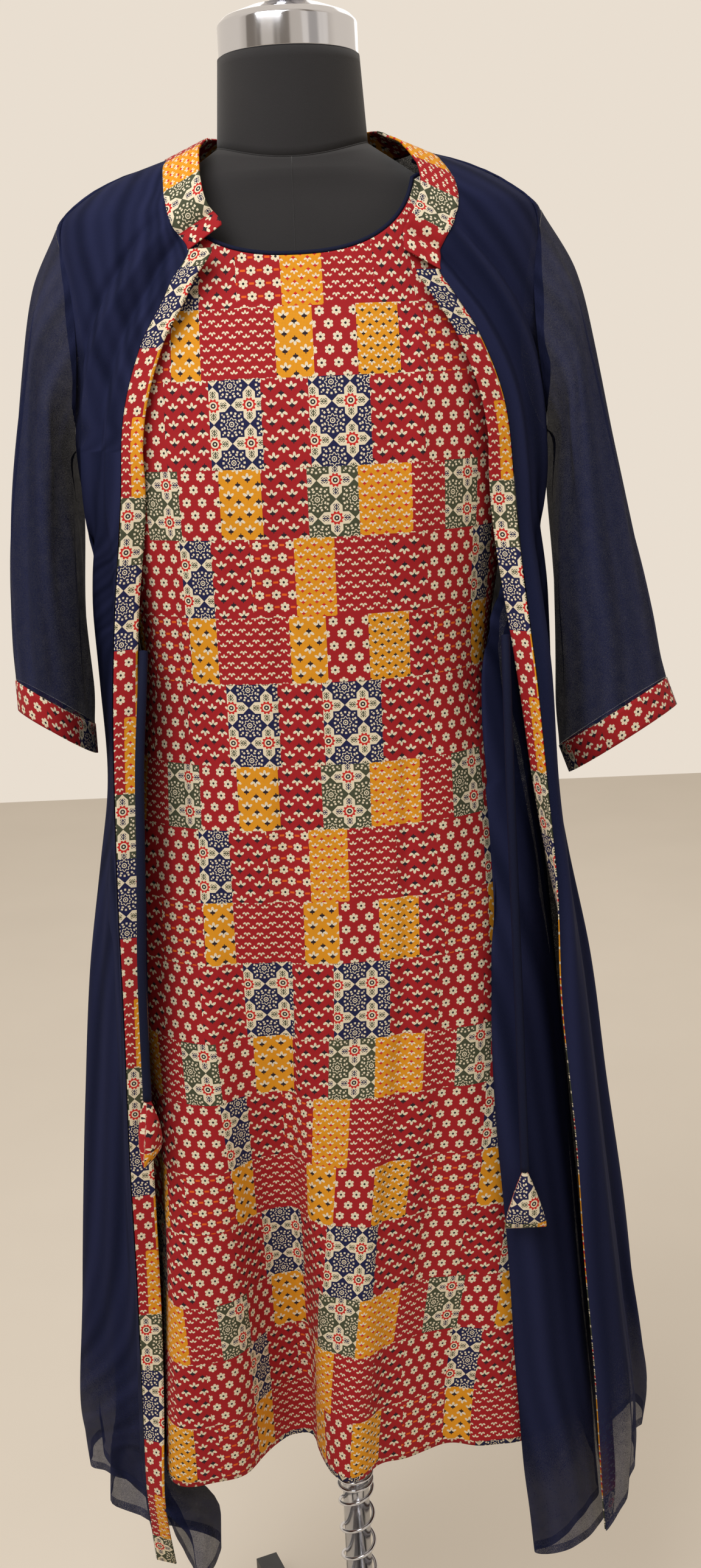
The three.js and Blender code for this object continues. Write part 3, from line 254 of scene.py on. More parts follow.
def at(rows, z, column):
    """Value of one named column of a table at height z, eased between rows."""
    zs = rows["z"]
    values = rows[column]
    last = len(zs) - 1
    z = np.clip(np.asarray(z, float), zs[last], zs[0])
    i = np.clip(np.searchsorted(-zs, -z, side="left") - 1, 0, last - 1)

    def slope(k):
        up = np.maximum(k - 1, 0)
        down = np.minimum(k + 1, last)
        return (values[up] - values[down]) / (zs[up] - zs[down])

    h = zs[i] - zs[i + 1]
    t = (zs[i] - z) / h
    t2 = t * t
    t3 = t2 * t
    return ((2 * t3 - 3 * t2 + 1) * values[i] - (t3 - 2 * t2 + t) * h * slope(i)
            + (3 * t2 - 2 * t3) * values[i + 1] - (t3 - t2) * h * slope(i + 1))


def ring_at(rows, z):
    """Section of a table at height z."""
    sides = ("side", "side") if "side" in rows else ("left", "right")
    return {
        "left": at(rows, z, sides[0]),
        "right": at(rows, z, sides[1]),
        "front": at(rows, z, "front"),
        "back": at(rows, z, "back"),
        "power": at(rows, z, "power"),
    }


def ring_point(ring, angle, z):
    """Point of an oval ring: angle 0 is the front, 90 the side at +X, 180 the back."""
    s = np.sin(np.radians(angle))
    c = np.cos(np.radians(angle))
    side = np.where(s < 0, ring["left"], ring["right"])
    depth = np.where(c > 0, ring["front"], ring["back"])
    power = 2 / ring["power"]
    x = side * np.sign(s) * np.abs(s) ** power
    y = -depth * np.sign(c) * np.abs(c) ** power
    return np.stack(np.broadcast_arrays(x, y, np.asarray(z, float)), axis=-1)


def angle_at_x(ring, x):
    """Angle on a ring at which its front has a given x."""
    side = np.where(np.asarray(x) < 0, ring["left"], ring["right"])
    s = np.minimum(1, np.abs(x) / side) ** (ring["power"] / 2)
    return np.sign(x) * np.degrees(np.arcsin(s))


def side_reach(ring, armhole, z, faces_back):
    """Angle from the middle of a panel to the side seam, the armhole or the shoulder seam."""
    reach = np.clip((z - armhole["z"]) / armhole["half_height"], -1, 1)
    depth = armhole["half_depth"] * np.sqrt(1 - reach * reach)
    full = ring["back"] if faces_back else ring["front"]
    c = np.minimum(1, depth / full) ** (ring["power"] / 2)
    return np.degrees(np.arccos(c))


def armhole_ends(armhole):
    """Heights of an armhole's foot and of its tip at the shoulder."""
    return armhole["z"] - armhole["half_height"], armhole["z"] + armhole["half_height"]


def armhole_lead(rows, armhole, part, faces_back):
    """How far the armhole moves a panel's side edge, in degrees. part is 0 at its foot, 1 at its tip."""
    z = armhole_ends(armhole)[0] + 2 * armhole["half_height"] * part
    return side_reach(ring_at(rows, z), armhole, z, faces_back) - 90


def catmull(points, t):
    """Points of a smooth curve through points (first axis) at places t from 0 to 1."""
    last = len(points) - 1
    place = np.clip(np.asarray(t, float), 0, 1) * last
    i = np.minimum(place.astype(int), last - 1)
    w = (place - i).reshape((-1,) + (1,) * (points.ndim - 1))
    p0 = points[np.maximum(i - 1, 0)]
    p1 = points[i]
    p2 = points[i + 1]
    p3 = points[np.minimum(i + 2, last)]
    v0 = (p2 - p0) / 2
    v1 = (p3 - p1) / 2
    return ((2 * p1 - 2 * p2 + v0 + v1) * w ** 3 + (3 * p2 - 3 * p1 - 2 * v0 - v1) * w ** 2
            + v0 * w + p1)


def along_rows(grid, start=0):
    """Length along each row of a grid, from its column number start."""
    steps = np.linalg.norm(np.diff(grid, axis=1), axis=2)
    total = np.concatenate([np.zeros((len(grid), 1)), np.cumsum(steps, axis=1)], axis=1)
    return total - total[:, start:start + 1]


def along_columns(grid):
    """Length along each column of a grid, from its first row."""
    return along_rows(grid.transpose(1, 0, 2)).T


def along_path(path):
    """Length along a path, from its first point."""
    return np.concatenate([[0], np.cumsum(np.linalg.norm(np.diff(path, axis=0), axis=1))])


def circle(radius, angle, z):
    """Points of a level circle round the form's axis. Angle 0 is the front, in radians."""
    return np.stack([radius * np.sin(angle), -radius * np.cos(angle), z], axis=-1)


def grid_normals(grid):
    """Unit normals of a grid of points."""
    across = np.gradient(grid, axis=1)
    up = np.gradient(grid, axis=0)
    normals = np.cross(across, up)
    return normals / np.maximum(np.linalg.norm(normals, axis=2, keepdims=True), 1e-9)


def ripples(s, z, waves):
    """Uneven soft folds: each wave is (length across, depth, lean, phase, wander length)."""
    total = np.zeros(np.broadcast(s, z).shape)
    for length, depth, lean, phase, wander in waves:
        drift = lean * z + 0.35 * length * np.sin(z / wander + phase)
        strength = 0.6 + 0.4 * np.sin(s / (3.1 * length) + z / (1.7 * wander) + 2 * phase)
        total = total + depth * strength * np.sin(2 * np.pi * (s + drift) / length + phase)
    return total


def creases(s, z, rows):
    """Soft troughs (depth below 0) and ridges along lines from a high to a low point."""
    total = np.zeros(np.broadcast(s, z).shape)
    for high_s, high_z, low_s, low_z, half, depth in rows:
        t = (high_z - z) / (high_z - low_z)
        middle = mix(high_s, low_s, t)
        ends = smooth(t / 0.25) * smooth((1 - t) / 0.25)
        total = total + depth * ends * hump(s - middle, half * mix(0.7, 1.2, np.clip(t, 0, 1)))
    return total


# ---- kurti ----
NECK_SHARE = 0.66
KURTI_NECK = {"front_z": 1469, "back_z": 1516, "side_z": 1542, "half_width": 92}
PRINT_ZERO_Z = 1265  # height of a row border of the print on the front
PRINT_LINE_X = -50  # this upright line of the front's print stays in place down to the hem


def grown_at(fold, z):
    """How far down a kurti fold is: 0 at its start, 1 at the hem."""
    return np.clip((fold["start_z"] - z) / (fold["start_z"] - KURTI_HEM_Z), 0, 1)


def kurti_surface(angle, z):
    """Point of the kurti: its section's ring, pushed in and out by its folds."""
    angle, z = np.broadcast_arrays(np.asarray(angle, float), np.asarray(z, float))
    p = ring_point(ring_at(KURTI, z), angle, z)
    s = np.sin(np.radians(angle))
    c = np.cos(np.radians(angle))
    front = np.zeros(angle.shape)
    for fold in KURTI_FRONT_FOLDS:
        grown = grown_at(fold, z)
        middle = mix(fold["top_x"], fold["hem_x"], grown)
        front += fold["push"] * smooth(grown) * hump(p[..., 0] - middle, fold["half"], fold["power"])
    front *= smooth(c * 4)
    back = np.zeros(angle.shape)
    from_back = np.where(angle < 0, angle + 180, angle - 180)
    for fold in KURTI_BACK_FOLDS:
        back += fold["push"] * smooth(grown_at(fold, z)) * hump(from_back - fold["angle"], fold["half"])
    push = np.where(c > 0, front, back)
    p[..., 0] += push * s
    p[..., 1] -= push * c
    return p


def neck_angle(z):
    """Angle of the kurti's front neckline at height z."""
    span = KURTI_NECK["side_z"] - KURTI_NECK["front_z"]
    rise = np.clip((z - KURTI_NECK["front_z"]) / span, 0, 1)
    x = KURTI_NECK["half_width"] * (1 - (1 - rise) ** 2.5) ** 0.4
    return angle_at_x(ring_at(KURTI, z), x)


def panel_places(u):
    """Where a panel's columns end: on the neckline (0 to 1), then on the shoulder seam (0 to 1)."""
    neck = np.clip(u / NECK_SHARE, 0, 1)
    shoulder = np.clip((u - NECK_SHARE) / (1 - NECK_SHARE), 0, 1)
    return neck, shoulder


def kurti_panel(faces_back, columns, low_rows, high_rows):
    """Front or back of the kurti: rows from the hem to the neckline and the shoulder seams."""
    across = np.linspace(-1, 1, columns)
    u = np.abs(across)
    turned = np.where(across < 0, -1, 1)
    neck, shoulder = panel_places(u)
    low_angle = 90 * (0.35 * u + 1.3 * np.arcsin(u) / np.pi)
    start_z, tip_z = armhole_ends(KURTI_ARMHOLE)
    turn = 180 if faces_back else 0
    low_z = np.linspace(KURTI_HEM_Z, start_z, low_rows, endpoint=False)[:, None]
    low = kurti_surface(turn + turned * low_angle, low_z + 0 * u)
    part = np.linspace(0, 1, high_rows)[:, None]
    neck_z = mix(KURTI_NECK["back_z"] if faces_back else KURTI_NECK["front_z"],
                 KURTI_NECK["side_z"], neck ** 2.2)
    top_z = mix(neck_z, tip_z, shoulder)
    if faces_back:
        top_angle = 90 * neck
    else:
        top_angle = mix(neck_angle(neck_z), 90, smooth((neck - 0.86) / 0.14))
    z = mix(start_z, top_z, part)
    led = armhole_lead(KURTI, KURTI_ARMHOLE, part, faces_back)
    angle = mix(low_angle, top_angle, part) + led * u ** 3
    high = kurti_surface(turn + turned * angle, z)
    return np.concatenate([low, high])


def anchor_shift(grid, u):
    """Shift of each row's lengths that keeps one upright line of the print at PRINT_LINE_X."""
    shifts = []
    for row, lengths in zip(grid, u):
        shifts.append(PRINT_LINE_X - np.interp(PRINT_LINE_X, row[:, 0], lengths))
    return np.array(shifts)[:, None]


def print_height(z):
    """Length of cloth from the print's zero up to height z, down the middle of the front."""
    steps = np.linspace(KURTI_HEM_Z - 20, 1560, 600)
    profile = kurti_surface(0 * steps, steps)
    length = along_path(profile)
    return np.interp(z, steps, length) - np.interp(PRINT_ZERO_Z, steps, length)


# ---- jacket ----
JACKET_NECK = {"left_z": 1476, "right_z": 1455, "back_z": 1547, "side_z": 1551}
FOLD_TOP_Z = 1330
FOLD_FULL_Z = 1140
LAYER_NEAR = 7
LAYER_FAR = 16
WIDEST_Y = -8
LEFT_PLAN = {"across": 0.22, "back": 0.5, "bulge": LAYER_NEAR + 3, "over": LAYER_NEAR + 7}
RIGHT_PLAN = {"across": 0.5, "back": 0.08, "bulge": LAYER_FAR + 5, "over": LAYER_FAR}
BEFORE_WIDEST = {"across": 0.74, "y": 0.25}
BEHIND_WIDEST = {"inward": 6, "back": 46}
TURN_UNDER_ANGLE = 96  # the front's cloth turns back under itself here
FLUTE_MIDDLE = 0.45  # place between the flute's inner and outer fold
FLUTE_ROOT = 0.3  # place between the flute's inner fold and the side
UNDER_ANGLE = 82
# Below its hem the left front swings in under the kurti, this far for each fold.
UNDER_HEM = {"below": 20, "within": 60, "over": -20, "bulge": -16, "inner": -26, "root": -36}
BESIDE_STEP = 1.5  # degrees to each side, to find which way is out of the kurti
HEM_RISE = {"left": 34, "right": 52, "from_z": 560}
SEAM_ANGLE = 104
SHOULDER_PLACE = 17 / 20  # place across a front panel where its shoulder seam starts
BLEND_LOW_Z = 1230  # from here up to the armhole the folded plan turns into the plain yoke
BLEND_TOP_Z = 1332


def beside_kurti(angle, z, out):
    """Point beside the kurti: its surface moved out in plan."""
    a = kurti_surface(angle - BESIDE_STEP, z)[..., :2]
    b = kurti_surface(angle + BESIDE_STEP, z)[..., :2]
    along = b - a
    along = along / np.linalg.norm(along, axis=-1, keepdims=True)
    outward = np.stack([along[..., 1], -along[..., 0]], axis=-1)
    return (a + b) / 2 + outward * np.asarray(out)[..., None]


def front_plan(side, z):
    """Plan curve of a front panel below the armhole, from the band's seam to the side seam."""
    rows = LEFT_SKIRT if side < 0 else RIGHT_SKIRT
    ring = ring_at(KURTI, z)
    edge_x = at(rows, z, "edge_x")
    edge_y = at(rows, z, "edge_y")
    outer_x = at(rows, z, "outer_x")
    span = outer_x - edge_x
    flute_in = np.abs(angle_at_x(ring, side * at(rows, z, "flute_in")))
    flute_out = np.abs(angle_at_x(ring, side * at(rows, z, "flute_out")))
    if side < 0:
        plan = LEFT_PLAN
        below = smooth((KURTI_HEM_Z - UNDER_HEM["below"] - z) / UNDER_HEM["within"])
    else:
        plan = RIGHT_PLAN
        below = 0 * z

    def beside(angle, out):
        return beside_kurti(side * angle, z, out + 0 * z)

    def free(x, y):
        return np.stack([side * x, y + 0 * z], axis=-1)

    return np.stack([
        free(edge_x, -edge_y),
        free(edge_x + span * plan["across"], -edge_y * (1 - plan["back"])),
        free(edge_x + span * BEFORE_WIDEST["across"], -edge_y * BEFORE_WIDEST["y"]),
        free(outer_x, WIDEST_Y),
        free(outer_x - BEHIND_WIDEST["inward"], WIDEST_Y + BEHIND_WIDEST["back"]),
        beside(TURN_UNDER_ANGLE + 0 * z, LAYER_FAR),
        beside(mix(flute_out, 90, 0.5), mix(plan["over"], UNDER_HEM["over"], below)),
        beside(flute_out, mix(plan["bulge"], UNDER_HEM["bulge"], below)),
        beside(mix(flute_in, flute_out, FLUTE_MIDDLE), mix(plan["bulge"] + 2, UNDER_HEM["bulge"], below)),
        beside(flute_in, mix(LAYER_NEAR + 1, UNDER_HEM["inner"], below)),
        beside(mix(flute_in, 90, FLUTE_ROOT), mix(LAYER_NEAR - 1, UNDER_HEM["root"], below)),
        beside(UNDER_ANGLE + 0 * z, LAYER_NEAR),
        beside(SEAM_ANGLE + 0 * z, LAYER_NEAR + 3),
    ])


def side_seam(side, z):
    """Plan point of the jacket's side seam."""
    return front_plan(side, z)[-1]


def edge_angle(side, z):
    """Front edge of the jacket, then the collar's seam above it, as an angle on the yoke ring."""
    x = at(FRONT_EDGE, z, "left_x" if side < 0 else "right_x")
    return np.abs(angle_at_x(ring_at(YOKE, z), side * x))


def hem_rise(side, t, z):
    """How far the jacket's hem is drawn up between the band and the side."""
    lift = HEM_RISE["left" if side < 0 else "right"]
    grown = np.clip((HEM_RISE["from_z"] - z) / (HEM_RISE["from_z"] - JACKET_HEM_Z), 0, 1)
    return lift * grown * smooth(t / 0.1) * (1 - smooth((t - 0.28) / 0.16))


def skirt_rows(side, z, places):
    """Rows of a front panel below the armhole. z runs down axis 0, places along axis 1."""
    plan = catmull(front_plan(side, z), places).transpose(1, 0, 2)
    grown = smooth((FOLD_TOP_Z - z) / (FOLD_TOP_Z - FOLD_FULL_Z))[:, None]
    zz = z[:, None] + 0 * places
    ring = ring_at(YOKE, zz)
    plain = ring_point(ring, side * mix(edge_angle(side, zz), SEAM_ANGLE, places), zz)
    seam = side_seam(side, z)[:, None, :]
    plain_xy = mix(plain[..., :2], seam, (places ** 6)[None, :, None])
    folded = mix(plain_xy, plan, grown[..., None])
    yoke = ring_point(ring, side * mix(edge_angle(side, zz), 90, places), zz)
    share = smooth((zz - BLEND_LOW_Z) / (BLEND_TOP_Z - BLEND_LOW_Z))[..., None]
    height = zz + hem_rise(side, places, zz)
    return np.concatenate([mix(folded, yoke[..., :2], share), height[..., None]], axis=-1)


def front_places(t):
    """Where a front panel's columns end: on the neckline (0 to 1), then on the shoulder seam."""
    neck = np.clip(t / SHOULDER_PLACE, 0, 1)
    shoulder = np.clip((t - SHOULDER_PLACE) / (1 - SHOULDER_PLACE), 0, 1)
    return neck, shoulder


def front_yoke(side, t, part):
    """Front panel beside and above the armhole. part is 0 at the armhole's foot, 1 at the top."""
    neck, shoulder = front_places(t)
    start_z, tip_z = armhole_ends(JACKET_ARMHOLE)
    front_z = JACKET_NECK["left_z" if side < 0 else "right_z"]
    neck_z = mix(front_z, JACKET_NECK["side_z"], neck)
    z = mix(start_z, mix(neck_z, tip_z, shoulder), part)
    low_edge = edge_angle(side, start_z)
    top_angle = mix(edge_angle(side, neck_z), 90, smooth((neck - 0.93) / 0.07))
    edge_z = mix(start_z, front_z, part)
    straight = mix(low_edge, edge_angle(side, front_z), part)
    led_edge = (edge_angle(side, edge_z) - straight) * (1 - t) ** 3
    led = armhole_lead(YOKE, JACKET_ARMHOLE, part, False)
    angle = mix(mix(low_edge, 90, t), top_angle, part) + led * t ** 3 + led_edge
    return ring_point(ring_at(YOKE, z), side * angle, z)


def back_yoke(across, part):
    """Jacket back beside and above the armholes."""
    u = np.abs(across)
    turned = np.where(across < 0, -1, 1)
    neck, shoulder = panel_places(u)
    start_z, tip_z = armhole_ends(JACKET_ARMHOLE)
    neck_z = mix(JACKET_NECK["back_z"], JACKET_NECK["side_z"], neck ** 2)
    z = mix(start_z, mix(neck_z, tip_z, shoulder), part)
    led = armhole_lead(YOKE, JACKET_ARMHOLE, part, True)
    angle = mix(90 * u, 90 * neck, part) + led * u ** 3
    return ring_point(ring_at(YOKE, z), 180 - turned * angle, z)


def back_skirt_rows(z, across):
    """Rows of the jacket back below the armholes."""
    zz = z[:, None] + 0 * across
    u = np.abs(across)
    right = side_seam(1, z)[:, None, :]
    left = side_seam(-1, z)[:, None, :]
    seam = np.where((across < 0)[None, :, None], left, right)
    s = np.sin(np.radians(u * 90)) ** 0.8
    c = np.clip(np.cos(np.radians(u * 90)), 0, 1) ** 0.8
    push = np.zeros(zz.shape)
    for fold in JACKET_BACK_FOLDS:
        grown = smooth((fold["start_z"] - zz) / (fold["start_z"] - JACKET_HEM_Z))
        push += fold["push"] * grown * hump(across * 90 - fold["angle"], fold["half"])
    push *= smooth((1 - u) * 6)
    sign = np.where(across < 0, -1, 1)
    x = sign * np.abs(seam[..., 0]) * s + push * s * sign
    y = mix(seam[..., 1], at(JACKET_BACK, zz, "depth"), c) + push * c
    yoke = ring_point(ring_at(YOKE, zz), 180 - sign * 90 * u, zz)
    share = smooth((zz - BLEND_LOW_Z) / (BLEND_TOP_Z - BLEND_LOW_Z))
    return np.stack([mix(x, yoke[..., 0], share), mix(y, yoke[..., 1], share), zz], axis=-1)


def jacket_front(side, columns, low_rows, high_rows):
    """Columns run from the band to the side seam."""
    t = np.linspace(0, 1, columns)
    start_z = armhole_ends(JACKET_ARMHOLE)[0]
    low = skirt_rows(side, np.linspace(JACKET_HEM_Z, start_z, low_rows, endpoint=False), t)
    high = front_yoke(side, t, np.linspace(0, 1, high_rows)[:, None])
    return np.concatenate([low, high])


def jacket_back(columns, low_rows, high_rows):
    """Columns run from the +X side seam to the -X side seam."""
    across = np.linspace(1, -1, columns)
    start_z = armhole_ends(JACKET_ARMHOLE)[0]
    low = back_skirt_rows(np.linspace(JACKET_HEM_Z, start_z, low_rows, endpoint=False), across)
    high = back_yoke(across, np.linspace(0, 1, high_rows)[:, None])
    return np.concatenate([low, high])


def sleeve_stations(side, rows, count):
    """Rings of a sleeve: the armhole's edge, then the rings of its table."""
    round_ = np.linspace(0, 360, count, endpoint=False)
    forward = np.where(round_ <= 180, 1, -1)
    from_top = np.where(round_ <= 180, round_, 360 - round_)
    part = (1 + np.cos(np.radians(from_top))) / 2
    front = front_yoke(side, np.ones(count), part)
    back = back_yoke(side * np.ones(count), part)
    edge = np.where((forward > 0)[:, None], front, back)
    edge = edge + np.array([side * SEAM_GAP, 0, 0])
    c = np.cos(np.radians(from_top))
    s = np.sin(np.radians(from_top)) * forward
    rings = [edge]
    for k in range(len(rows["out_x"])):
        row = {name: values[k] for name, values in rows.items()}
        x = (row["out_x"] + row["in_x"]) / 2 + (row["out_x"] - row["in_x"]) / 2 * c
        z = (row["out_z"] + row["in_z"]) / 2 + (row["out_z"] - row["in_z"]) / 2 * c
        rings.append(np.stack([side * x, -row["forward"] - row["depth"] * s,
                               z + row["hang"] * s], axis=-1))
    return np.stack(rings)


# ---- meshes ----
def mesh_object(name, verts, faces, uvs=None):
    """Object from points in millimetres, with uvs per point in metres."""
    mesh = bpy.data.meshes.new(name)
    mesh.from_pydata((np.asarray(verts) * MM).tolist(), [], faces)
    if uvs is not None:
        layer = mesh.uv_layers.new(name="UVMap")
        corner = np.empty(len(mesh.loops), dtype=np.int32)
        mesh.loops.foreach_get("vertex_index", corner)
        layer.data.foreach_set("uv", np.asarray(uvs, dtype=np.float32)[corner].ravel())
    mesh.polygons.foreach_set("use_smooth", [True] * len(mesh.polygons))
    mesh.update()
    made = bpy.data.objects.new(name, mesh)
    bpy.context.scene.collection.objects.link(made)
    return made


def quads(rows, columns, around=False):
    """Faces of a grid of points, closed round where asked."""
    j, i = np.meshgrid(np.arange(rows - 1), np.arange(columns if around else columns - 1), indexing="ij")
    k = (i + 1) % columns
    faces = np.stack([j * columns + i, j * columns + k, (j + 1) * columns + k, (j + 1) * columns + i],
                     axis=-1)
    return faces.reshape(-1, 4).tolist()


def cloth_object(name, grid, u, v, around=False):
    """Cloth over a grid of points. u and v are lengths along it in millimetres."""
    rows, columns = grid.shape[:2]
    if around:
        grid = np.concatenate([grid, grid[:, :1]], axis=1)
        columns += 1
    uvs = np.stack(np.broadcast_arrays(u, v), axis=-1).reshape(-1, 2) * MM
    made = mesh_object(name, grid.reshape(-1, 3), quads(rows, columns), uvs)
    if around:
        weld = made.modifiers.new("weld", "WELD")
        weld.merge_threshold = 1e-6
    return made


def thicken(piece, thickness):
    """Gives a printed piece the thickness of its cloth, half to each side."""
    wall = piece.modifiers.new("wall", "SOLIDIFY")
    wall.thickness = thickness * MM
    wall.offset = 0
    return piece


def tube(name, path, radius, sides=12, closed=False):
    """Round tube along a path of points, capped at open ends."""
    path = np.asarray(path, float)
    n = len(path)
    if closed:
        along = np.roll(path, -1, axis=0) - np.roll(path, 1, axis=0)
    else:
        along = np.gradient(path, axis=0)
    along = along / np.linalg.norm(along, axis=1, keepdims=True)
    up = np.array([0.0, 0.0, 1.0])
    if abs(along[0] @ up) > 0.9:
        up = np.array([1.0, 0.0, 0.0])
    rings = []
    side = up - along[0] * (up @ along[0])
    for k in range(n):
        side = side - along[k] * (side @ along[k])
        side = side / np.linalg.norm(side)
        other = np.cross(along[k], side)
        a = np.linspace(0, 2 * np.pi, sides, endpoint=False)[:, None]
        rings.append(path[k] + radius * (np.cos(a) * side + np.sin(a) * other))
    verts = np.concatenate(rings)
    faces = []
    for j in range(n if closed else n - 1):
        base, after = j * sides, ((j + 1) % n) * sides
        for i in range(sides):
            k = (i + 1) % sides
            faces.append((base + i, base + k, after + k, after + i))
    if not closed:
        faces.append(tuple(range(sides))[::-1])
        faces.append(tuple(range((n - 1) * sides, n * sides)))
    length = along_path(path)
    turn = np.arange(sides) / sides * 2 * np.pi * radius
    uvs = np.stack(np.meshgrid(turn, length), axis=-1).reshape(-1, 2) * MM
    return mesh_object(name, verts, faces, uvs)


def ringed_body(name, rings, uvs=None):
    """Closed body through rings of points, from its foot to its top."""
    count = len(rings[0])
    faces = quads(len(rings), count, around=True)
    faces.append(tuple(range(count))[::-1])
    faces.append(tuple(range((len(rings) - 1) * count, len(rings) * count)))
    return mesh_object(name, np.concatenate(rings), faces, uvs)


def lathe(name, profile, sides=96):
    """Turned body from (radius, z) points. A radius of 0 closes it on the axis."""
    verts = []
    rings = []
    for radius, z in profile:
        if radius == 0:
            rings.append([len(verts)])
            verts.append((0, 0, z))
            continue
        rings.append(list(range(len(verts), len(verts) + sides)))
        for k in range(sides):
            a = 2 * math.pi * k / sides
            verts.append((radius * math.sin(a), -radius * math.cos(a), z))
    faces = []
    for low, high in zip(rings, rings[1:]):
        for k in range(sides):
            n = (k + 1) % sides
            if len(low) == 1:
                faces.append((low[0], high[n], high[k]))
            elif len(high) == 1:
                faces.append((low[k], low[n], high[0]))
            else:
                faces.append((low[k], low[n], high[n], high[k]))
    return mesh_object(name, verts, faces)


def rounded(profile, corners, radius, steps=5):
    """Profile with the named corners rounded off."""
    points = [np.array(p, float) for p in profile]
    out = []
    for i, p in enumerate(points):
        if i not in corners:
            out.append(tuple(p))
            continue
        before = points[i - 1] - p
        after = points[i + 1] - p
        a = p + before / np.linalg.norm(before) * radius
        b = p + after / np.linalg.norm(after) * radius
        for k in range(steps + 1):
            t = k / steps
            out.append(tuple((1 - t) ** 2 * a + 2 * t * (1 - t) * p + t * t * b))
    return out


# ---- materials ----
def linear(red, green, blue):
    """Colour given as 0 to 255, as a linear colour."""
    values = []
    for part in (red, green, blue):
        part = part / 255
        values.append(part / 12.92 if part <= 0.04045 else ((part + 0.055) / 1.055) ** 2.4)
    return (*values, 1.0)


class Term:
    """A number in a material's node tree that ordinary arithmetic works on."""

    def __init__(self, tree, socket):
        self.tree = tree
        self.socket = socket

    def op(self, kind, *others):
        """Result of a maths node on this number and others."""
        node = self.tree.nodes.new("ShaderNodeMath")
        node.operation = kind
        for place, value in enumerate((self, *others)):
            if isinstance(value, Term):
                self.tree.links.new(value.socket, node.inputs[place])
            else:
                node.inputs[place].default_value = value
        return Term(self.tree, node.outputs[0])

    def __rsub__(self, other):
        return (self * -1).op("ADD", other)


TERM_OPERATIONS = {
    "__add__": "ADD", "__sub__": "SUBTRACT", "__mul__": "MULTIPLY", "__truediv__": "DIVIDE",
    "__gt__": "GREATER_THAN", "__lt__": "LESS_THAN", "__mod__": "FLOORED_MODULO", "__abs__": "ABSOLUTE",
    "low": "MINIMUM", "high": "MAXIMUM", "cosine": "COSINE", "sine": "SINE", "root": "SQRT",
    "arctan2": "ARCTAN2", "floor": "FLOOR",
}


def term_method(kind):
    """Method of Term that makes one kind of maths node."""
    def operate(self, *others):
        return self.op(kind, *others)
    return operate


for method, kind in TERM_OPERATIONS.items():
    setattr(Term, method, term_method(kind))


def new_material(name, roughness=0.8, sheen=0.0, metallic=0.0):
    """New material, its node tree and its shader."""
    made = bpy.data.materials.new(name)
    made.use_nodes = True
    shader = made.node_tree.nodes["Principled BSDF"]
    shader.inputs["Roughness"].default_value = roughness
    shader.inputs["Metallic"].default_value = metallic
    shader.inputs["Sheen Weight"].default_value = sheen
    return made, made.node_tree, shader


def colour_mix(tree, factor, first, second):
    """Colour socket between two colours or colour sockets."""
    node = tree.nodes.new("ShaderNodeMix")
    node.data_type = "RGBA"
    for place, value in ((0, factor), (6, first), (7, second)):
        if isinstance(value, Term):
            tree.links.new(value.socket, node.inputs[place])
        elif isinstance(value, bpy.types.NodeSocket):
            tree.links.new(value, node.inputs[place])
        else:
            node.inputs[place].default_value = value
    return node.outputs[2]


def steps_ramp(tree, place, stops):
    """Colour of the last stop at or before a place from 0 to 1."""
    node = tree.nodes.new("ShaderNodeValToRGB")
    ramp = node.color_ramp
    ramp.interpolation = "CONSTANT"
    while len(ramp.elements) < len(stops):
        ramp.elements.new(1.0)
    for element, (position, colour) in zip(ramp.elements, stops):
        element.position = position
        element.color = colour
    tree.links.new(place.socket, node.inputs[0])
    return node.outputs[0]


def split(tree, colour):
    """Red, green and blue of a colour, as numbers."""
    node = tree.nodes.new("ShaderNodeSeparateColor")
    tree.links.new(colour, node.inputs[0])
    return [Term(tree, socket) for socket in node.outputs]


def uv_millimetres(tree):
    """Place on the cloth, in millimetres."""
    node = tree.nodes.new("ShaderNodeUVMap")
    node.uv_map = "UVMap"
    parts = tree.nodes.new("ShaderNodeSeparateXYZ")
    tree.links.new(node.outputs[0], parts.inputs[0])
    return Term(tree, parts.outputs[0]) * 1000, Term(tree, parts.outputs[1]) * 1000


def noise(tree, scale, detail=2.0, roughness=0.5):
    """Noise from 0 to 1 in the object's space."""
    place = tree.nodes.new("ShaderNodeTexCoord")
    node = tree.nodes.new("ShaderNodeTexNoise")
    node.inputs["Scale"].default_value = scale
    node.inputs["Detail"].default_value = detail
    node.inputs["Roughness"].default_value = roughness
    tree.links.new(place.outputs["Object"], node.inputs["Vector"])
    return Term(tree, node.outputs[0])


def bump(tree, shader, height, strength, distance):
    """Fine relief on a material."""
    node = tree.nodes.new("ShaderNodeBump")
    node.inputs["Strength"].default_value = strength
    node.inputs["Distance"].default_value = distance
    tree.links.new(height.socket, node.inputs["Height"])
    tree.links.new(node.outputs[0], shader.inputs["Normal"])


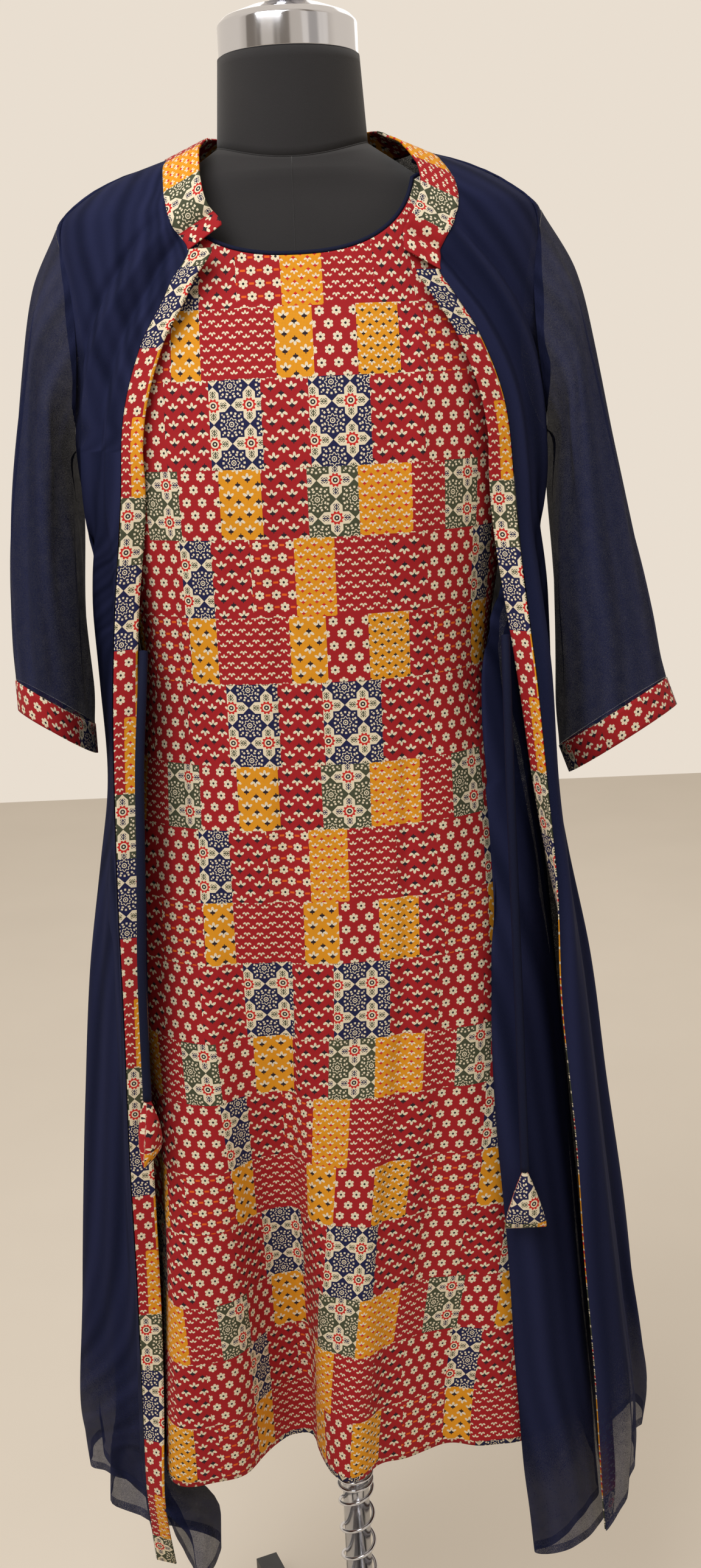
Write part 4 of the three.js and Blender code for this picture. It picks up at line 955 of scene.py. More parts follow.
# Patchwork print: rows of tiles, each tile one of nine block prints.
REPEAT_X = 238.0
REPEAT_Y = 230.0
RED, RED_SMALL, RED_FLOWER, RED_DASHED, MUSTARD, MUSTARD_STARRED, MUSTARD_DARK, NAVY, OLIVE = range(9)
CODES = 10.0
PRINT_ROWS = (
    # height of the row, first border, tiles with their widths
    (60.0, -101.0, ((NAVY, 26), (RED, 30), (RED_DASHED, 34), (MUSTARD_STARRED, 30), (RED_SMALL, 39),
                    (RED, 34), (RED_FLOWER, 45))),
    (52.0, -99.0, ((MUSTARD, 24), (RED_SMALL, 57), (MUSTARD, 28), (RED_FLOWER, 33),
                   (MUSTARD_DARK, 32), (RED, 22), (RED_DASHED, 42))),
    (65.5, -106.0, ((RED, 36), (NAVY, 40), (RED, 35), (NAVY, 46), (RED, 41), (RED_FLOWER, 40))),
    (52.5, -98.0, ((RED_FLOWER, 32), (MUSTARD, 33), (RED, 34), (OLIVE, 38), (MUSTARD_STARRED, 41),
                   (RED_SMALL, 28), (OLIVE, 32))),
)
PRINT_RED = linear(152, 24, 30)
PRINT_MUSTARD = linear(212, 144, 24)
PRINT_CREAM = linear(216, 204, 178)
PRINT_NAVY = linear(24, 27, 66)
PRINT_OLIVE = linear(66, 70, 52)
PRINT_DARK = linear(38, 26, 34)
PRINT_BRIGHT_RED = linear(186, 34, 30)
PRINT_ORANGE = linear(214, 92, 26)
PRINT_HATCH = linear(188, 112, 26)
FLORAL_CODES = (RED, RED_SMALL, RED_FLOWER, RED_DASHED, MUSTARD, MUSTARD_STARRED, MUSTARD_DARK)
STAR_PITCH = 28.0
LOTUS_PITCH = (15.4, 12.8)
SMALLER_BY = 0.32  # share by which the figures of the small prints are smaller
FLOWER_PITCH = (12.6, 9.5)
PETALS = 6


def print_tile(tree, u, v):
    """Which tile a point lies in, and its place in the tile, down and across in millimetres."""
    down = ((v * -1) % REPEAT_Y) / REPEAT_Y
    stops = []
    start = 0.0
    for number, (height, border, _) in enumerate(PRINT_ROWS):
        stops.append((start / REPEAT_Y, (number / 4, start / REPEAT_Y, -border / REPEAT_X, 1)))
        start += height
    row, row_start, shift = split(tree, steps_ramp(tree, down, stops))
    across = (u / REPEAT_X + shift) % 1.0
    chosen = None
    for number, (_, _, tiles) in enumerate(PRINT_ROWS):
        stops = []
        start = 0.0
        for code, width in tiles:
            stops.append((start / REPEAT_X, (code / CODES, start / REPEAT_X, 0, 1)))
            start += width
        ramp = steps_ramp(tree, across, stops)
        chosen = ramp if chosen is None else colour_mix(tree, row > (number - 0.5) / 4, chosen, ramp)
    code, tile_start, _ = split(tree, chosen)
    return code, (across - tile_start) * REPEAT_X, (down - row_start) * REPEAT_Y


def is_code(code, *numbers):
    """1 where the tile's code is one of a run of numbers."""
    low = (min(numbers) - 0.5) / CODES
    high = (max(numbers) + 0.5) / CODES
    return (code > low) * (code < high)


def ellipse(x, y, half_width, half_height):
    """1 inside an ellipse about the origin."""
    wide = x / half_width
    tall = y / half_height
    return wide * wide + tall * tall < 1


def lotus(x, y):
    """Three cream petals with a dark cup on their foot. x is folded to one side. Returns both masks."""
    middle = ellipse(x, y - 1.5, 1.1, 2.1)
    lean_s, lean_c = math.sin(math.radians(56)), math.cos(math.radians(56))
    rise = y + 1.3
    petal = ellipse(x * lean_c - rise * lean_s, x * lean_s + rise * lean_c - 2.9, 1.0, 2.0)
    bowl = ellipse(x, y + 1.5, 2.1, 1.1)
    spike = (x + (y + 1.5) * 0.42 < 1.1) * (y > -1.5)
    stem = (x < 0.4) * (abs(y + 2.6) < 1.0)
    return middle.high(petal), bowl.high(spike).high(stem)


def rosette_dots(ax, ay):
    """Rings of dots about the middle of a star, with one dot in each of its corners."""
    radius = (ax * ax + ay * ay).root()
    lobes = (ay.arctan2(ax) * 8).cosine()
    beads = (ay.arctan2(ax) * 16).cosine()
    dots = (abs(radius - 8.3) < 0.8) * (beads > 0.1)
    dots = dots.high((abs(radius - 6.3) < 0.6) * (lobes < -0.4))
    dots = dots.high(abs(radius - lobes * 0.6 - 4.1) < 0.34)
    dots = dots.high(abs(radius - 1.7) < 0.35)
    dots = dots.high(ellipse(ax - 7.3, ay - 7.3, 0.6, 0.6))
    return dots.high(radius < 0.6)


def draw_sun(tree, cx, cy, colour):
    """Red pointed sun with a cream ring and a dark middle, over a colour."""
    radius = (cx * cx + cy * cy).root()
    points = (cy.arctan2(cx) * 10).cosine()
    colour = colour_mix(tree, (radius - points * 0.6) < 4.7, colour, PRINT_BRIGHT_RED)
    colour = colour_mix(tree, radius < 3.0, colour, PRINT_CREAM)
    colour = colour_mix(tree, radius < 1.9, colour, PRINT_DARK)
    return colour_mix(tree, radius < 0.8, colour, PRINT_CREAM)


def star_tile(tree, x, y, olive, ground):
    """Eight-point stars with dotted rosettes, suns and sprigs between them. Returns a colour."""
    sx = (x / STAR_PITCH + 0.875 - olive * 0.643) % 1.0 - 0.5
    sy = (y / STAR_PITCH + 0.332 + olive * 0.293) % 1.0 - 0.5
    ax = abs(sx) * STAR_PITCH
    ay = abs(sy) * STAR_PITCH
    half = STAR_PITCH / 2
    star = (ax + ay < 14.2).high(ax.high(ay) < 9.4)
    edge = half - ax.high(ay)
    reach = abs(ax.low(ay) - 5.9)
    leaves = ((reach + edge * 1.1) * 3.4).cosine() > 0.1
    sprig = (edge < 2.3) * (reach < 2.5) * leaves.high(edge < 0.4)
    colour = colour_mix(tree, star, PRINT_CREAM, ground)
    colour = colour_mix(tree, star * rosette_dots(ax, ay), colour, PRINT_CREAM)
    colour = colour_mix(tree, sprig * (1 - star), colour, colour_mix(tree, olive, PRINT_OLIVE, PRINT_NAVY))
    return draw_sun(tree, half - ax, half - ay, colour)


def by_code(tree, code, colours):
    """Colour of a floral tile: one colour for each of the floral codes."""
    stops = [(k / CODES - 0.02 if k else 0, colour) for k, colour in zip(FLORAL_CODES, colours)]
    return steps_ramp(tree, code, stops)


def floral_ground(tree, code, x, y):
    """Red or mustard, with a fine hatch on the mustard."""
    ground = by_code(tree, code, [PRINT_MUSTARD if k >= MUSTARD else PRINT_RED for k in FLORAL_CODES])
    hatch = (((x + y) * 2.9).sine() * ((x - y) * 2.9).sine() > 0.05) * (code > (MUSTARD - 0.5) / CODES)
    return colour_mix(tree, hatch * 0.4, ground, PRINT_HATCH)


def lotus_rows(tree, code, x, y, ground):
    """Staggered rows of lotus figures, upright and turned over. Returns a colour."""
    small = is_code(code, RED_SMALL).high(is_code(code, MUSTARD_STARRED, MUSTARD_DARK))
    size = 1 - small * SMALLER_BY
    lx = x / size
    ly = y / size
    pitch_x, pitch_y = LOTUS_PITCH
    upright_x = abs(lx % pitch_x - pitch_x / 2)
    upright_y = (ly * -1) % pitch_y - pitch_y / 2
    turned_x = pitch_x / 2 - upright_x
    turned_y = pitch_y / 2 - (ly * -1 + pitch_y / 2) % pitch_y
    up_petals, up_cup = lotus(upright_x, upright_y)
    down_petals, down_cup = lotus(turned_x, turned_y)
    crown = colour_mix(tree, up_petals.high(down_petals), ground, PRINT_CREAM)
    cups = {RED_SMALL: PRINT_RED, MUSTARD_STARRED: PRINT_BRIGHT_RED}
    cup_colour = by_code(tree, code, [cups.get(k, PRINT_DARK) for k in FLORAL_CODES])
    return colour_mix(tree, up_cup.high(down_cup), crown, cup_colour)


def flower_rows(tree, code, x, y, ground):
    """Staggered rows of small flowers, with dashes between them on one print. Returns a colour."""
    pitch_x, pitch_y = FLOWER_PITCH
    row = (y / pitch_y).floor() % 2
    fx = (x + row * (pitch_x / 2)) % pitch_x - pitch_x / 2
    fy = y % pitch_y - pitch_y / 2
    radius = (fx * fx + fy * fy).root()
    sector = 2 * math.pi / PETALS
    spoke = fy.arctan2(fx) % sector - sector / 2
    bloom = ellipse(radius * spoke.cosine() - 2.5, radius * spoke.sine(), 1.25, 1.2).high(radius < 1.8)
    flower = colour_mix(tree, bloom, ground, PRINT_CREAM)
    flower = colour_mix(tree, radius < 0.95, flower, PRINT_DARK)
    dashes = (abs(fx) > 4.4) * (abs(fy) < 0.8) * is_code(code, RED_DASHED)
    return colour_mix(tree, dashes, flower, PRINT_ORANGE)


def patchwork(tree, u, v):
    """Colour of the patchwork print at a place on the cloth, in millimetres."""
    code, x, y = print_tile(tree, u, v)
    ground = floral_ground(tree, code, x, y)
    crown = lotus_rows(tree, code, x, y, ground)
    flower = flower_rows(tree, code, x, y, ground)
    floral = colour_mix(tree, is_code(code, RED_FLOWER, RED_DASHED), crown, flower)
    olive = code > (OLIVE - 0.5) / CODES
    stars = star_tile(tree, x, y, olive, colour_mix(tree, olive, PRINT_NAVY, PRINT_OLIVE))
    return colour_mix(tree, code > (NAVY - 0.5) / CODES, floral, stars)


def shade(tree, colour, amount, scale):
    """A little light and dark over a colour, as dye takes unevenly."""
    wave = noise(tree, scale, 3.0)
    node = tree.nodes.new("ShaderNodeHueSaturation")
    tree.links.new(colour, node.inputs["Color"])
    tree.links.new((wave * amount + (1 - amount / 2)).socket, node.inputs["Value"])
    return node.outputs[0]


WEAVE_PITCH = 0.5


def printed_cotton(name):
    """Matt cotton with the patchwork print and a fine weave."""
    made, tree, shader = new_material(name, roughness=0.85)
    shader.inputs["Specular IOR Level"].default_value = 0.25
    u, v = uv_millimetres(tree)
    colour = shade(tree, patchwork(tree, u, v), 0.16, 60)
    tree.links.new(colour, shader.inputs["Base Color"])
    thread = 2 * math.pi / WEAVE_PITCH
    weave = (u * thread).sine() * (v * thread).sine()
    bump(tree, shader, weave * 0.3 + noise(tree, 900, 2.0), 0.25, 0.0002)
    return made


HEM_TURN = 9.0  # width of the jacket's turned hem
HEM_COVER = 0.83  # how close the georgette looks at the hem
SHEER_UP_TO = 60  # from here up the cloth hangs in folds and looks closer
SHEER_FADE = 90


def georgette(name, cover):
    """Sheer crepe: grainy, see-through, denser along its rolled hem, with painted fold shade in upright
    light and dark streaks. cover is how close it looks.
    """
    made, tree, shader = new_material(name, roughness=0.85)
    u, v = uv_millimetres(tree)
    grain = noise(tree, 1500, 2.0, 0.6)
    slub = noise(tree, 90, 3.0)
    # Painted fold shade: upright streaks mix a darker and a lighter navy into the colour, standing in for
    # the shading of the folds.
    painted_fold_shade = (u * 0.21 + (v * 0.006).sine() * 2).sine() * (u * 0.083 + 1.3).sine() * 0.5 + 0.5
    tree.links.new(colour_mix(tree, painted_fold_shade, linear(20, 24, 47), linear(33, 37, 66)),
                   shader.inputs["Base Color"])
    shader.inputs["Specular IOR Level"].default_value = 0.05
    hem = v < HEM_TURN
    above_hem = ((v - SHEER_UP_TO) / SHEER_FADE).high(0).low(1)
    alpha = (grain - 0.5) * 0.5 + (slub - 0.5) * 0.12 + HEM_COVER
    alpha = alpha + above_hem * (cover - HEM_COVER) + hem * 0.12
    tree.links.new(alpha.high(0.4).low(0.995).socket, shader.inputs["Alpha"])
    bump(tree, shader, grain, 0.35, 0.0004)
    return made


def jersey(name):
    """Matt black knit of the dress form."""
    made, tree, shader = new_material(name, roughness=0.92, sheen=0.12)
    knit = noise(tree, 1800, 2.0)
    wide = noise(tree, 25, 3.0)
    colour = colour_mix(tree, knit * 0.6 + wide * 0.4, linear(16, 15, 17), linear(34, 32, 34))
    tree.links.new(colour, shader.inputs["Base Color"])
    bump(tree, shader, knit, 0.4, 0.0003)
    return made


def plain_cloth(name, colour, light):
    """Plain matt cloth, a little uneven between two colours."""
    made, tree, shader = new_material(name, roughness=0.75)
    shader.inputs["Specular IOR Level"].default_value = 0.1
    fine = noise(tree, 1400, 2.0)
    tree.links.new(colour_mix(tree, fine, colour, light), shader.inputs["Base Color"])
    bump(tree, shader, fine, 0.3, 0.0003)
    return made


def chrome(name):
    """Polished chrome, a little smeared."""
    made, tree, shader = new_material(name, metallic=1.0, roughness=0.12)
    shader.inputs["Base Color"].default_value = linear(214, 214, 218)
    smear = noise(tree, 40, 4.0)
    tree.links.new((smear * 0.16 + 0.04).socket, shader.inputs["Roughness"])
    return made


def black_steel(name):
    """Satin black paint, a little dusty."""
    made, tree, shader = new_material(name, roughness=0.4)
    grime = noise(tree, 70, 5.0)
    tree.links.new(colour_mix(tree, grime, linear(14, 14, 15), linear(34, 34, 36)),
                   shader.inputs["Base Color"])
    tree.links.new((grime * 0.3 + 0.3).socket, shader.inputs["Roughness"])
    bump(tree, shader, noise(tree, 900, 2.0), 0.15, 0.0003)
    return made


KURTI_PRINT = printed_cotton("kurti_print")
GEORGETTE = georgette("navy_georgette", 0.89)
GEORGETTE_FRONT = georgette("navy_georgette_front", 1.02)  # the body hangs in close folds
GEORGETTE_BACK = georgette("navy_georgette_back", 0.97)
PIPING = plain_cloth("navy_piping", linear(12, 15, 34), linear(24, 29, 54))
JERSEY = jersey("form_jersey")
CHROME = chrome("chrome")
STEEL = black_steel("black_steel")


def place(piece, material, slot, *nodes):
    """Gives a piece its material, hangs it from the root body, and hides the CAD parts it stands in for.
    """
    piece.data.materials.clear()
    piece.data.materials.append(material)
    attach(piece, "root")
    if nodes:
        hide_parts(*nodes)
    return piece


# ---- kurti pieces ----
KURTI_WAVES = ((58, 1.1, 0.02, 0.4, 190), (37, 0.7, -0.03, 2.1, 140), (83, 1.3, 0.01, 4.4, 260))
# Each crease: its high point, its low point, half its width, and its depth (below 0 is a trough).
KURTI_FRONT_CREASES = (
    (-22, 1330, -36, 700, 9, -3.5),
    (-70, 1440, -48, 1180, 10, -2.2),
    (74, 1200, 52, 560, 8, -3.0),
    (96, 1450, 82, 1230, 9, 2.0),
    (20, 820, 2, 470, 9, 2.2),
    (-112, 1300, -118, 900, 7, -2.4),
)
KURTI_BACK_CREASES = (
    (-40, 1380, -30, 900, 9, -3.0),
    (52, 1340, 44, 820, 10, -2.6),
    (6, 1120, -8, 520, 9, 2.4),
)
BACK_PRINT_U = 64  # the back's print is cut this much further along


def make_kurti_panel(faces_back):
    """Front or back of the kurti with its folds. Returns the piece and its grid."""
    grid = kurti_panel(faces_back, CLOTH_COLUMNS, 150, 70)
    u = along_rows(grid, grid.shape[1] // 2)
    if not faces_back:
        u = u + anchor_shift(grid, u)
    z = grid[..., 2]
    growth = 0.35 + 0.65 * smooth((1300 - z) / 500)
    near_side = smooth((1 - np.abs(np.linspace(-1, 1, grid.shape[1]))) * 8)
    rows = KURTI_BACK_CREASES if faces_back else KURTI_FRONT_CREASES
    lift = (ripples(u, z, KURTI_WAVES) * growth + creases(u, z, rows)) * near_side
    grid = grid + grid_normals(grid) * lift[..., None]
    name = "kurti_back" if faces_back else "kurti_front"
    piece = cloth_object("visual_" + name, grid, u + (BACK_PRINT_U if faces_back else 0), print_height(z))
    thicken(piece, 0.7)
    return place(piece, KURTI_PRINT, "kurti_print", name), grid


def make_neck_piping(front_grid, back_grid):
    """Cord sewn round the neckline."""
    neckline = []
    for grid in (front_grid, back_grid):
        across = np.abs(np.linspace(-1, 1, grid.shape[1]))
        neckline.append(grid[-1][across <= NECK_SHARE + 1e-6])
    path = np.concatenate([neckline[0], neckline[1][1:-1]])
    inward = -path[:, :2] / np.linalg.norm(path[:, :2], axis=1, keepdims=True)
    path = path + np.column_stack([inward * 0.6, np.full(len(path), 0.8)]) * (PIPING_RADIUS + 0.4)
    welt = tube("visual_neck_piping", path, PIPING_RADIUS, 10, closed=True)
    place(welt, PIPING, "navy_piping", "kurti_neck_piping")


def make_kurti():
    """Front, back and neck piping. Returns the two panels."""
    front, front_grid = make_kurti_panel(False)
    back, back_grid = make_kurti_panel(True)
    make_neck_piping(front_grid, back_grid)
    return front, back


# ---- jacket pieces ----
JACKET_WAVES = ((46, 1.8, 0.03, 0.8, 210), (29, 1.0, -0.02, 2.7, 150), (71, 2.2, 0.01, 5.1, 300))
JACKET_GATHERS = (
    (10, 1530, 34, 1290, 6, -4.6),
    (24, 1520, 62, 1250, 7, 4.0),
    (38, 1515, 80, 1330, 6, -4.0),
    (6, 1480, 16, 1240, 5, 3.0),
)
JACKET_BACK_CREASES = (
    (-30, 1480, -44, 1100, 9, -3.0),
    (18, 1440, 26, 980, 9, -2.6),
    (66, 1420, 84, 1020, 9, 2.6),
)


def drape_front(side):
    """Front panel with its soft folds. Columns run from the band to the side seam."""
    grid = jacket_front(side, CLOTH_COLUMNS, 170, 60)
    s = along_rows(grid)
    z = grid[..., 2]
    t = np.linspace(0, 1, grid.shape[1])
    growth = 0.3 + 0.7 * smooth((1320 - z) / 600)
    ends = smooth(t * 14) * smooth((1 - t) * 10)
    lift = (ripples(s, z, JACKET_WAVES) * growth + creases(s, z, JACKET_GATHERS)) * ends
    return grid + grid_normals(grid) * side * lift[..., None]


def drape_back():
    """Back panel with its soft folds. Columns run from the +X side seam to the -X side seam."""
    grid = jacket_back(CLOTH_COLUMNS, 170, 60)
    s = along_rows(grid, grid.shape[1] // 2)
    z = grid[..., 2]
    across = np.linspace(1, -1, grid.shape[1])
    growth = 0.3 + 0.7 * smooth((1340 - z) / 600)
    ends = smooth((1 - np.abs(across)) * 8)
    lift = (ripples(s, z, JACKET_WAVES) * growth + creases(s, z, JACKET_BACK_CREASES)) * ends
    return grid + grid_normals(grid) * lift[..., None]


BAND_PRINT_U = 29  # the bands are cut from this column of the print, upside down
BAND_PRINT_V = -112  # the border of the print that lies on the bands at BAND_PRINT_Z
BAND_PRINT_Z = 1407


def make_band(name, node, edge, side):
    """Printed band along a front edge, folded over it. Returns its grid, from the seam outward."""
    rows = LEFT_SKIRT if side < 0 else RIGHT_SKIRT
    z = edge[:, 2]
    turn = at(rows, z, "turn")
    way = np.stack([-side * np.cos(np.radians(turn)), np.sin(np.radians(turn)), 0 * z], axis=-1)
    folded = smooth((turn - 80) / 60)[:, None]
    inward = np.array([-side * 0.35, 0.94, 0]) * 2.4 * folded
    widths = np.linspace(0.9, BAND_WIDTH, 9)
    grid = np.stack([edge + way * w + inward for w in widths], axis=1)
    length = along_path(edge)
    v = BAND_PRINT_V + np.interp(BAND_PRINT_Z, z, length) - length
    u = BAND_PRINT_U + side * widths - (side + 1) / 2 * BAND_WIDTH
    if side > 0:
        grid = grid[:, ::-1]
        u = u[::-1]
    piece = cloth_object(name, grid, u[None, :], v[:, None])
    thicken(piece, 1.3)
    place(piece, KURTI_PRINT, "trim_print", node)
    return grid if side < 0 else grid[:, ::-1]


COLLAR_MIDDLE_X = 8
COLLAR_RISES_Y = -30  # behind this the collar starts to stand up
COLLAR_RISE = 95
COLLAR_OPEN = (1, 0.05, 0.42)  # way of the open front: inward, back and up
COLLAR_UP = (0.8, 0.25, 0.75)
COLLAR_PRINT_U = -15  # where on the print the collar is cut
COLLAR_PRINT_V = -215
COLLAR_OVER_SEAM = 0.8  # the collar reaches this far over its seam, so that no light shows there
COLLAR_RIGHT_STEP = 80  # the collar's right half is cut this much further along the print


def make_collar(seam):
    """Band collar: flat beside the open front, standing up round the back of the neck."""
    widths = np.linspace(-COLLAR_OVER_SEAM, COLLAR_WIDTH, 11)
    inward = np.array([COLLAR_MIDDLE_X, 0]) - seam[:, :2]
    inward = inward / np.linalg.norm(inward, axis=1, keepdims=True)
    back = smooth((seam[:, 1] - COLLAR_RISES_Y) / COLLAR_RISE)
    ways = [mix(flat, upright, back) for flat, upright in zip(COLLAR_OPEN, COLLAR_UP)]
    way = np.stack([inward[:, 0] * ways[0], inward[:, 1] * ways[1], ways[2]], axis=-1)
    way = way / np.linalg.norm(way, axis=1, keepdims=True)
    grid = np.stack([seam + way * w for w in widths])
    length = along_path(seam)
    u = length[-1] - length[None, :] + COLLAR_PRINT_U
    u = u + np.where(seam[None, :, 0] > 0, COLLAR_RIGHT_STEP, 0)
    piece = cloth_object("visual_collar", grid, u, widths[:, None] + COLLAR_PRINT_V)
    thicken(piece, 1.6)
    place(piece, KURTI_PRINT, "trim_print", "collar")


CUFF_PRINT_U = {"left": 55, "right": 34}  # where on the print the cuffs are cut
CUFF_PRINT_V = -125


SLEEVE_LAP = 4  # the print and the weave run on this far where a ring closes
CUFF_LEAN = {"left": 0, "right": 20}


def sleeve_lift(depth, turn):
    """Soft folds of a sleeve, at a depth from 0 at the armhole to 1 at the cuff."""
    lift = smooth(np.linspace(0, 1, len(depth)) * 6)[:, None] * (
        1.6 * np.sin(7 * turn + 3.0 * depth) + 1.1 * np.sin(11 * turn - 5 * depth + 1)
        + 2.2 * np.sin(3 * turn + 9 * depth + 0.5) * depth * (1 - depth) * 2)
    return lift * smooth((1 - depth) * 8)


def make_sleeve(label, stations):
    """Sheer sleeve from the armhole down to its cuff."""
    body = catmull(stations, np.linspace(0, 1, 90))
    around = along_rows(body)
    v = along_columns(body)
    depth = np.linspace(0, 1, len(body))[:, None]
    turn = np.linspace(0, 2 * np.pi, body.shape[1], endpoint=False)[None, :]
    normals = np.cross(np.roll(body, -1, axis=1) - np.roll(body, 1, axis=1), np.gradient(body, axis=0))
    normals = normals / np.linalg.norm(normals, axis=2, keepdims=True)
    centre = body.mean(axis=1, keepdims=True)
    facing = np.sign(np.sum(normals * (body - centre), axis=2, keepdims=True).mean())
    body = body + normals * facing * sleeve_lift(depth, turn)[..., None]
    around = np.concatenate([around, around[:, -1:] + SLEEVE_LAP], axis=1)
    v = np.concatenate([v, v[:, :1]], axis=1) + 20
    piece = cloth_object("visual_sleeve_" + label, body, around, v, around=True)
    return place(piece, GEORGETTE, "navy_georgette", "sleeve_" + label)


def make_cuff(side, label, last):
    """Printed cuff below the last ring of a sleeve."""
    lean = math.radians(CUFF_LEAN[label])
    down = np.array([side * math.sin(lean), 0, -math.cos(lean)])
    lengths = np.linspace(0.6, CUFF_HEIGHT, 9)
    cuff = np.stack([last + down * w for w in lengths])
    girth = along_rows(cuff)
    girth = np.concatenate([girth, girth[:, -1:] + SLEEVE_LAP], axis=1)
    v = CUFF_PRINT_V - (lengths[:, None] + 0 * girth)
    piece = cloth_object("visual_cuff_" + label, cuff, girth + CUFF_PRINT_U[label], v, around=True)
    thicken(piece, 1.3)
    place(piece, KURTI_PRINT, "trim_print", "cuff_" + label)


def make_jacket():
    """The jacket with its trim and ties. Returns its panels and sleeves by node, and its ties."""
    right = drape_front(1)
    left = drape_front(-1)
    back = drape_back()
    cloths = {}
    for name, grid, cloth in (("jacket_front_right", right, GEORGETTE_FRONT),
                              ("jacket_front_left", left[:, ::-1], GEORGETTE_FRONT),
                              ("jacket_back", back, GEORGETTE_BACK)):
        piece = cloth_object("visual_" + name, grid, along_rows(grid), along_columns(grid))
        cloths[name] = place(piece, cloth, "navy_georgette", name)
    left_band = make_band("visual_band_left", "front_band_left", left[:, 0], -1)
    right_band = make_band("visual_band_right", "front_band_right", right[:, 0], 1)
    t = np.linspace(0, 1, right.shape[1])
    across = np.linspace(1, -1, back.shape[1])
    make_collar(np.concatenate([
        right[-1][t <= SHOULDER_PLACE],
        back[-1][np.abs(across) < NECK_SHARE],
        left[-1][t <= SHOULDER_PLACE][::-1],
    ]))
    for side, label, rows in ((-1, "left", LEFT_SLEEVE), (1, "right", RIGHT_SLEEVE)):
        stations = sleeve_stations(side, rows, 120)
        cloths["sleeve_" + label] = make_sleeve(label, stations)
        make_cuff(side, label, stations[-1])
    ties = (make_tie("left", LEFT_DORI, left_band, -1), make_tie("right", RIGHT_DORI, right_band, 1))
    return cloths, ties


# ---- ties ----
# Stuffed triangle: millimetres down from its top, share of its width, share of its depth.
LATKAN_ROWS = ((0.0, 0.12, 0.3), (4, 0.2, 0.45), (12, 0.38, 0.72), (20, 0.54, 0.92), (28, 0.69, 1.0),
               (36, 0.83, 0.97), (43, 0.94, 0.8), (48, 0.99, 0.55), (51, 1.0, 0.28), (52, 0.98, 0.1))
LATKAN_PRINT = {"left": (76, 20), "right": (30, 132)}  # where on the print each is cut
LATKAN_BACK_STEP = 60  # its back is cut this much further along


def make_latkan(label, hung):
    """Stuffed printed triangle that hangs from the point hung."""
    a = np.linspace(0, 2 * np.pi, 40, endpoint=False)
    rings = []
    for down, width, depth in LATKAN_ROWS:
        x = width * LATKAN_WIDTH / 2 * np.sign(np.cos(a)) * np.abs(np.cos(a)) ** 0.85
        y = depth * LATKAN_DEPTH / 2 * np.sin(a)
        rings.append(np.stack([x, y, np.full(a.shape, -down)], axis=-1))
    flat = np.concatenate(rings)
    print_u, print_v = LATKAN_PRINT[label]
    u = flat[:, 0] + print_u + np.where(flat[:, 1] > 0, LATKAN_BACK_STEP, 0)
    v = flat[:, 2] - print_v
    turned = math.radians(LATKAN_TURN[label])
    across = flat[:, 0] * math.cos(turned) - flat[:, 1] * math.sin(turned)
    deep = flat[:, 0] * math.sin(turned) + flat[:, 1] * math.cos(turned)
    verts = np.stack([across, deep, flat[:, 2]], axis=-1) + hung
    rings = verts.reshape(len(rings), len(a), 3)
    triangle = ringed_body("visual_latkan_" + label, rings, np.stack([u, v], axis=-1) * MM)
    return place(triangle, KURTI_PRINT, "trim_print", "latkan_" + label)


def make_tie(label, line, band_grid, side):
    """Tube from the band down to its triangle. Returns both, its path and its length in metres."""
    z = band_grid[:, -1, 2]
    start = np.array([np.interp(DORI_START_Z, z, band_grid[:, -1, k]) for k in range(3)])
    start[0] -= side * (DORI_RADIUS + 0.9)
    points = np.array([start, *line], float)
    path = catmull(points, np.linspace(0, 1, 60))
    cord = tube("visual_dori_" + label, path, DORI_RADIUS, 14)
    place(cord, PIPING, "navy_piping", "dori_" + label)
    triangle = make_latkan(label, points[-1])
    length = float(np.linalg.norm(np.diff(path, axis=0), axis=1).sum()) * MM
    return cord, triangle, path, length


# ---- dress form and stand ----
def make_torso(angle, neck):
    """Jersey torso, drawn in to the neck's seam at the top."""
    heights = np.linspace(TORSO_FOOT_Z, TORSO_TOP_Z, 120)
    rings = [ring_point(ring_at(TORSO, z), angle, z + 0 * angle) for z in heights]
    shoulder = rings[-1]
    for t in (0.2, 0.4, 0.6, 0.8, 1.0):
        rings.append(mix(shoulder, neck, t))
    place(ringed_body("visual_torso", rings), JERSEY, "form_jersey", "form_torso")


def make_neck(a, neck):
    """Jersey neck from its seam up to the cap."""
    top = circle(NECK_TOP_RADIUS, a, NECK_TOP_Z + 0 * a)
    rings = [mix(neck, top, t) for t in np.linspace(0, 1, 12)]
    place(ringed_body("visual_neck", rings), JERSEY, "form_jersey", "form_neck")


def make_form_seams(neck):
    """Raised seams round the neck and down the middle of the front."""
    seam = tube("visual_neck_seam", neck + np.array([0, 0, 0.2]), 0.5, 6, closed=True)
    place(seam, JERSEY, "form_jersey")
    heights = np.linspace(1300, TORSO_TOP_Z, 60)
    front = np.stack([ring_point(ring_at(TORSO, z), 0.0, z) for z in heights])
    front = np.concatenate([front, neck[:1]])
    place(tube("visual_front_seam", front, 0.35, 6), JERSEY, "form_jersey")


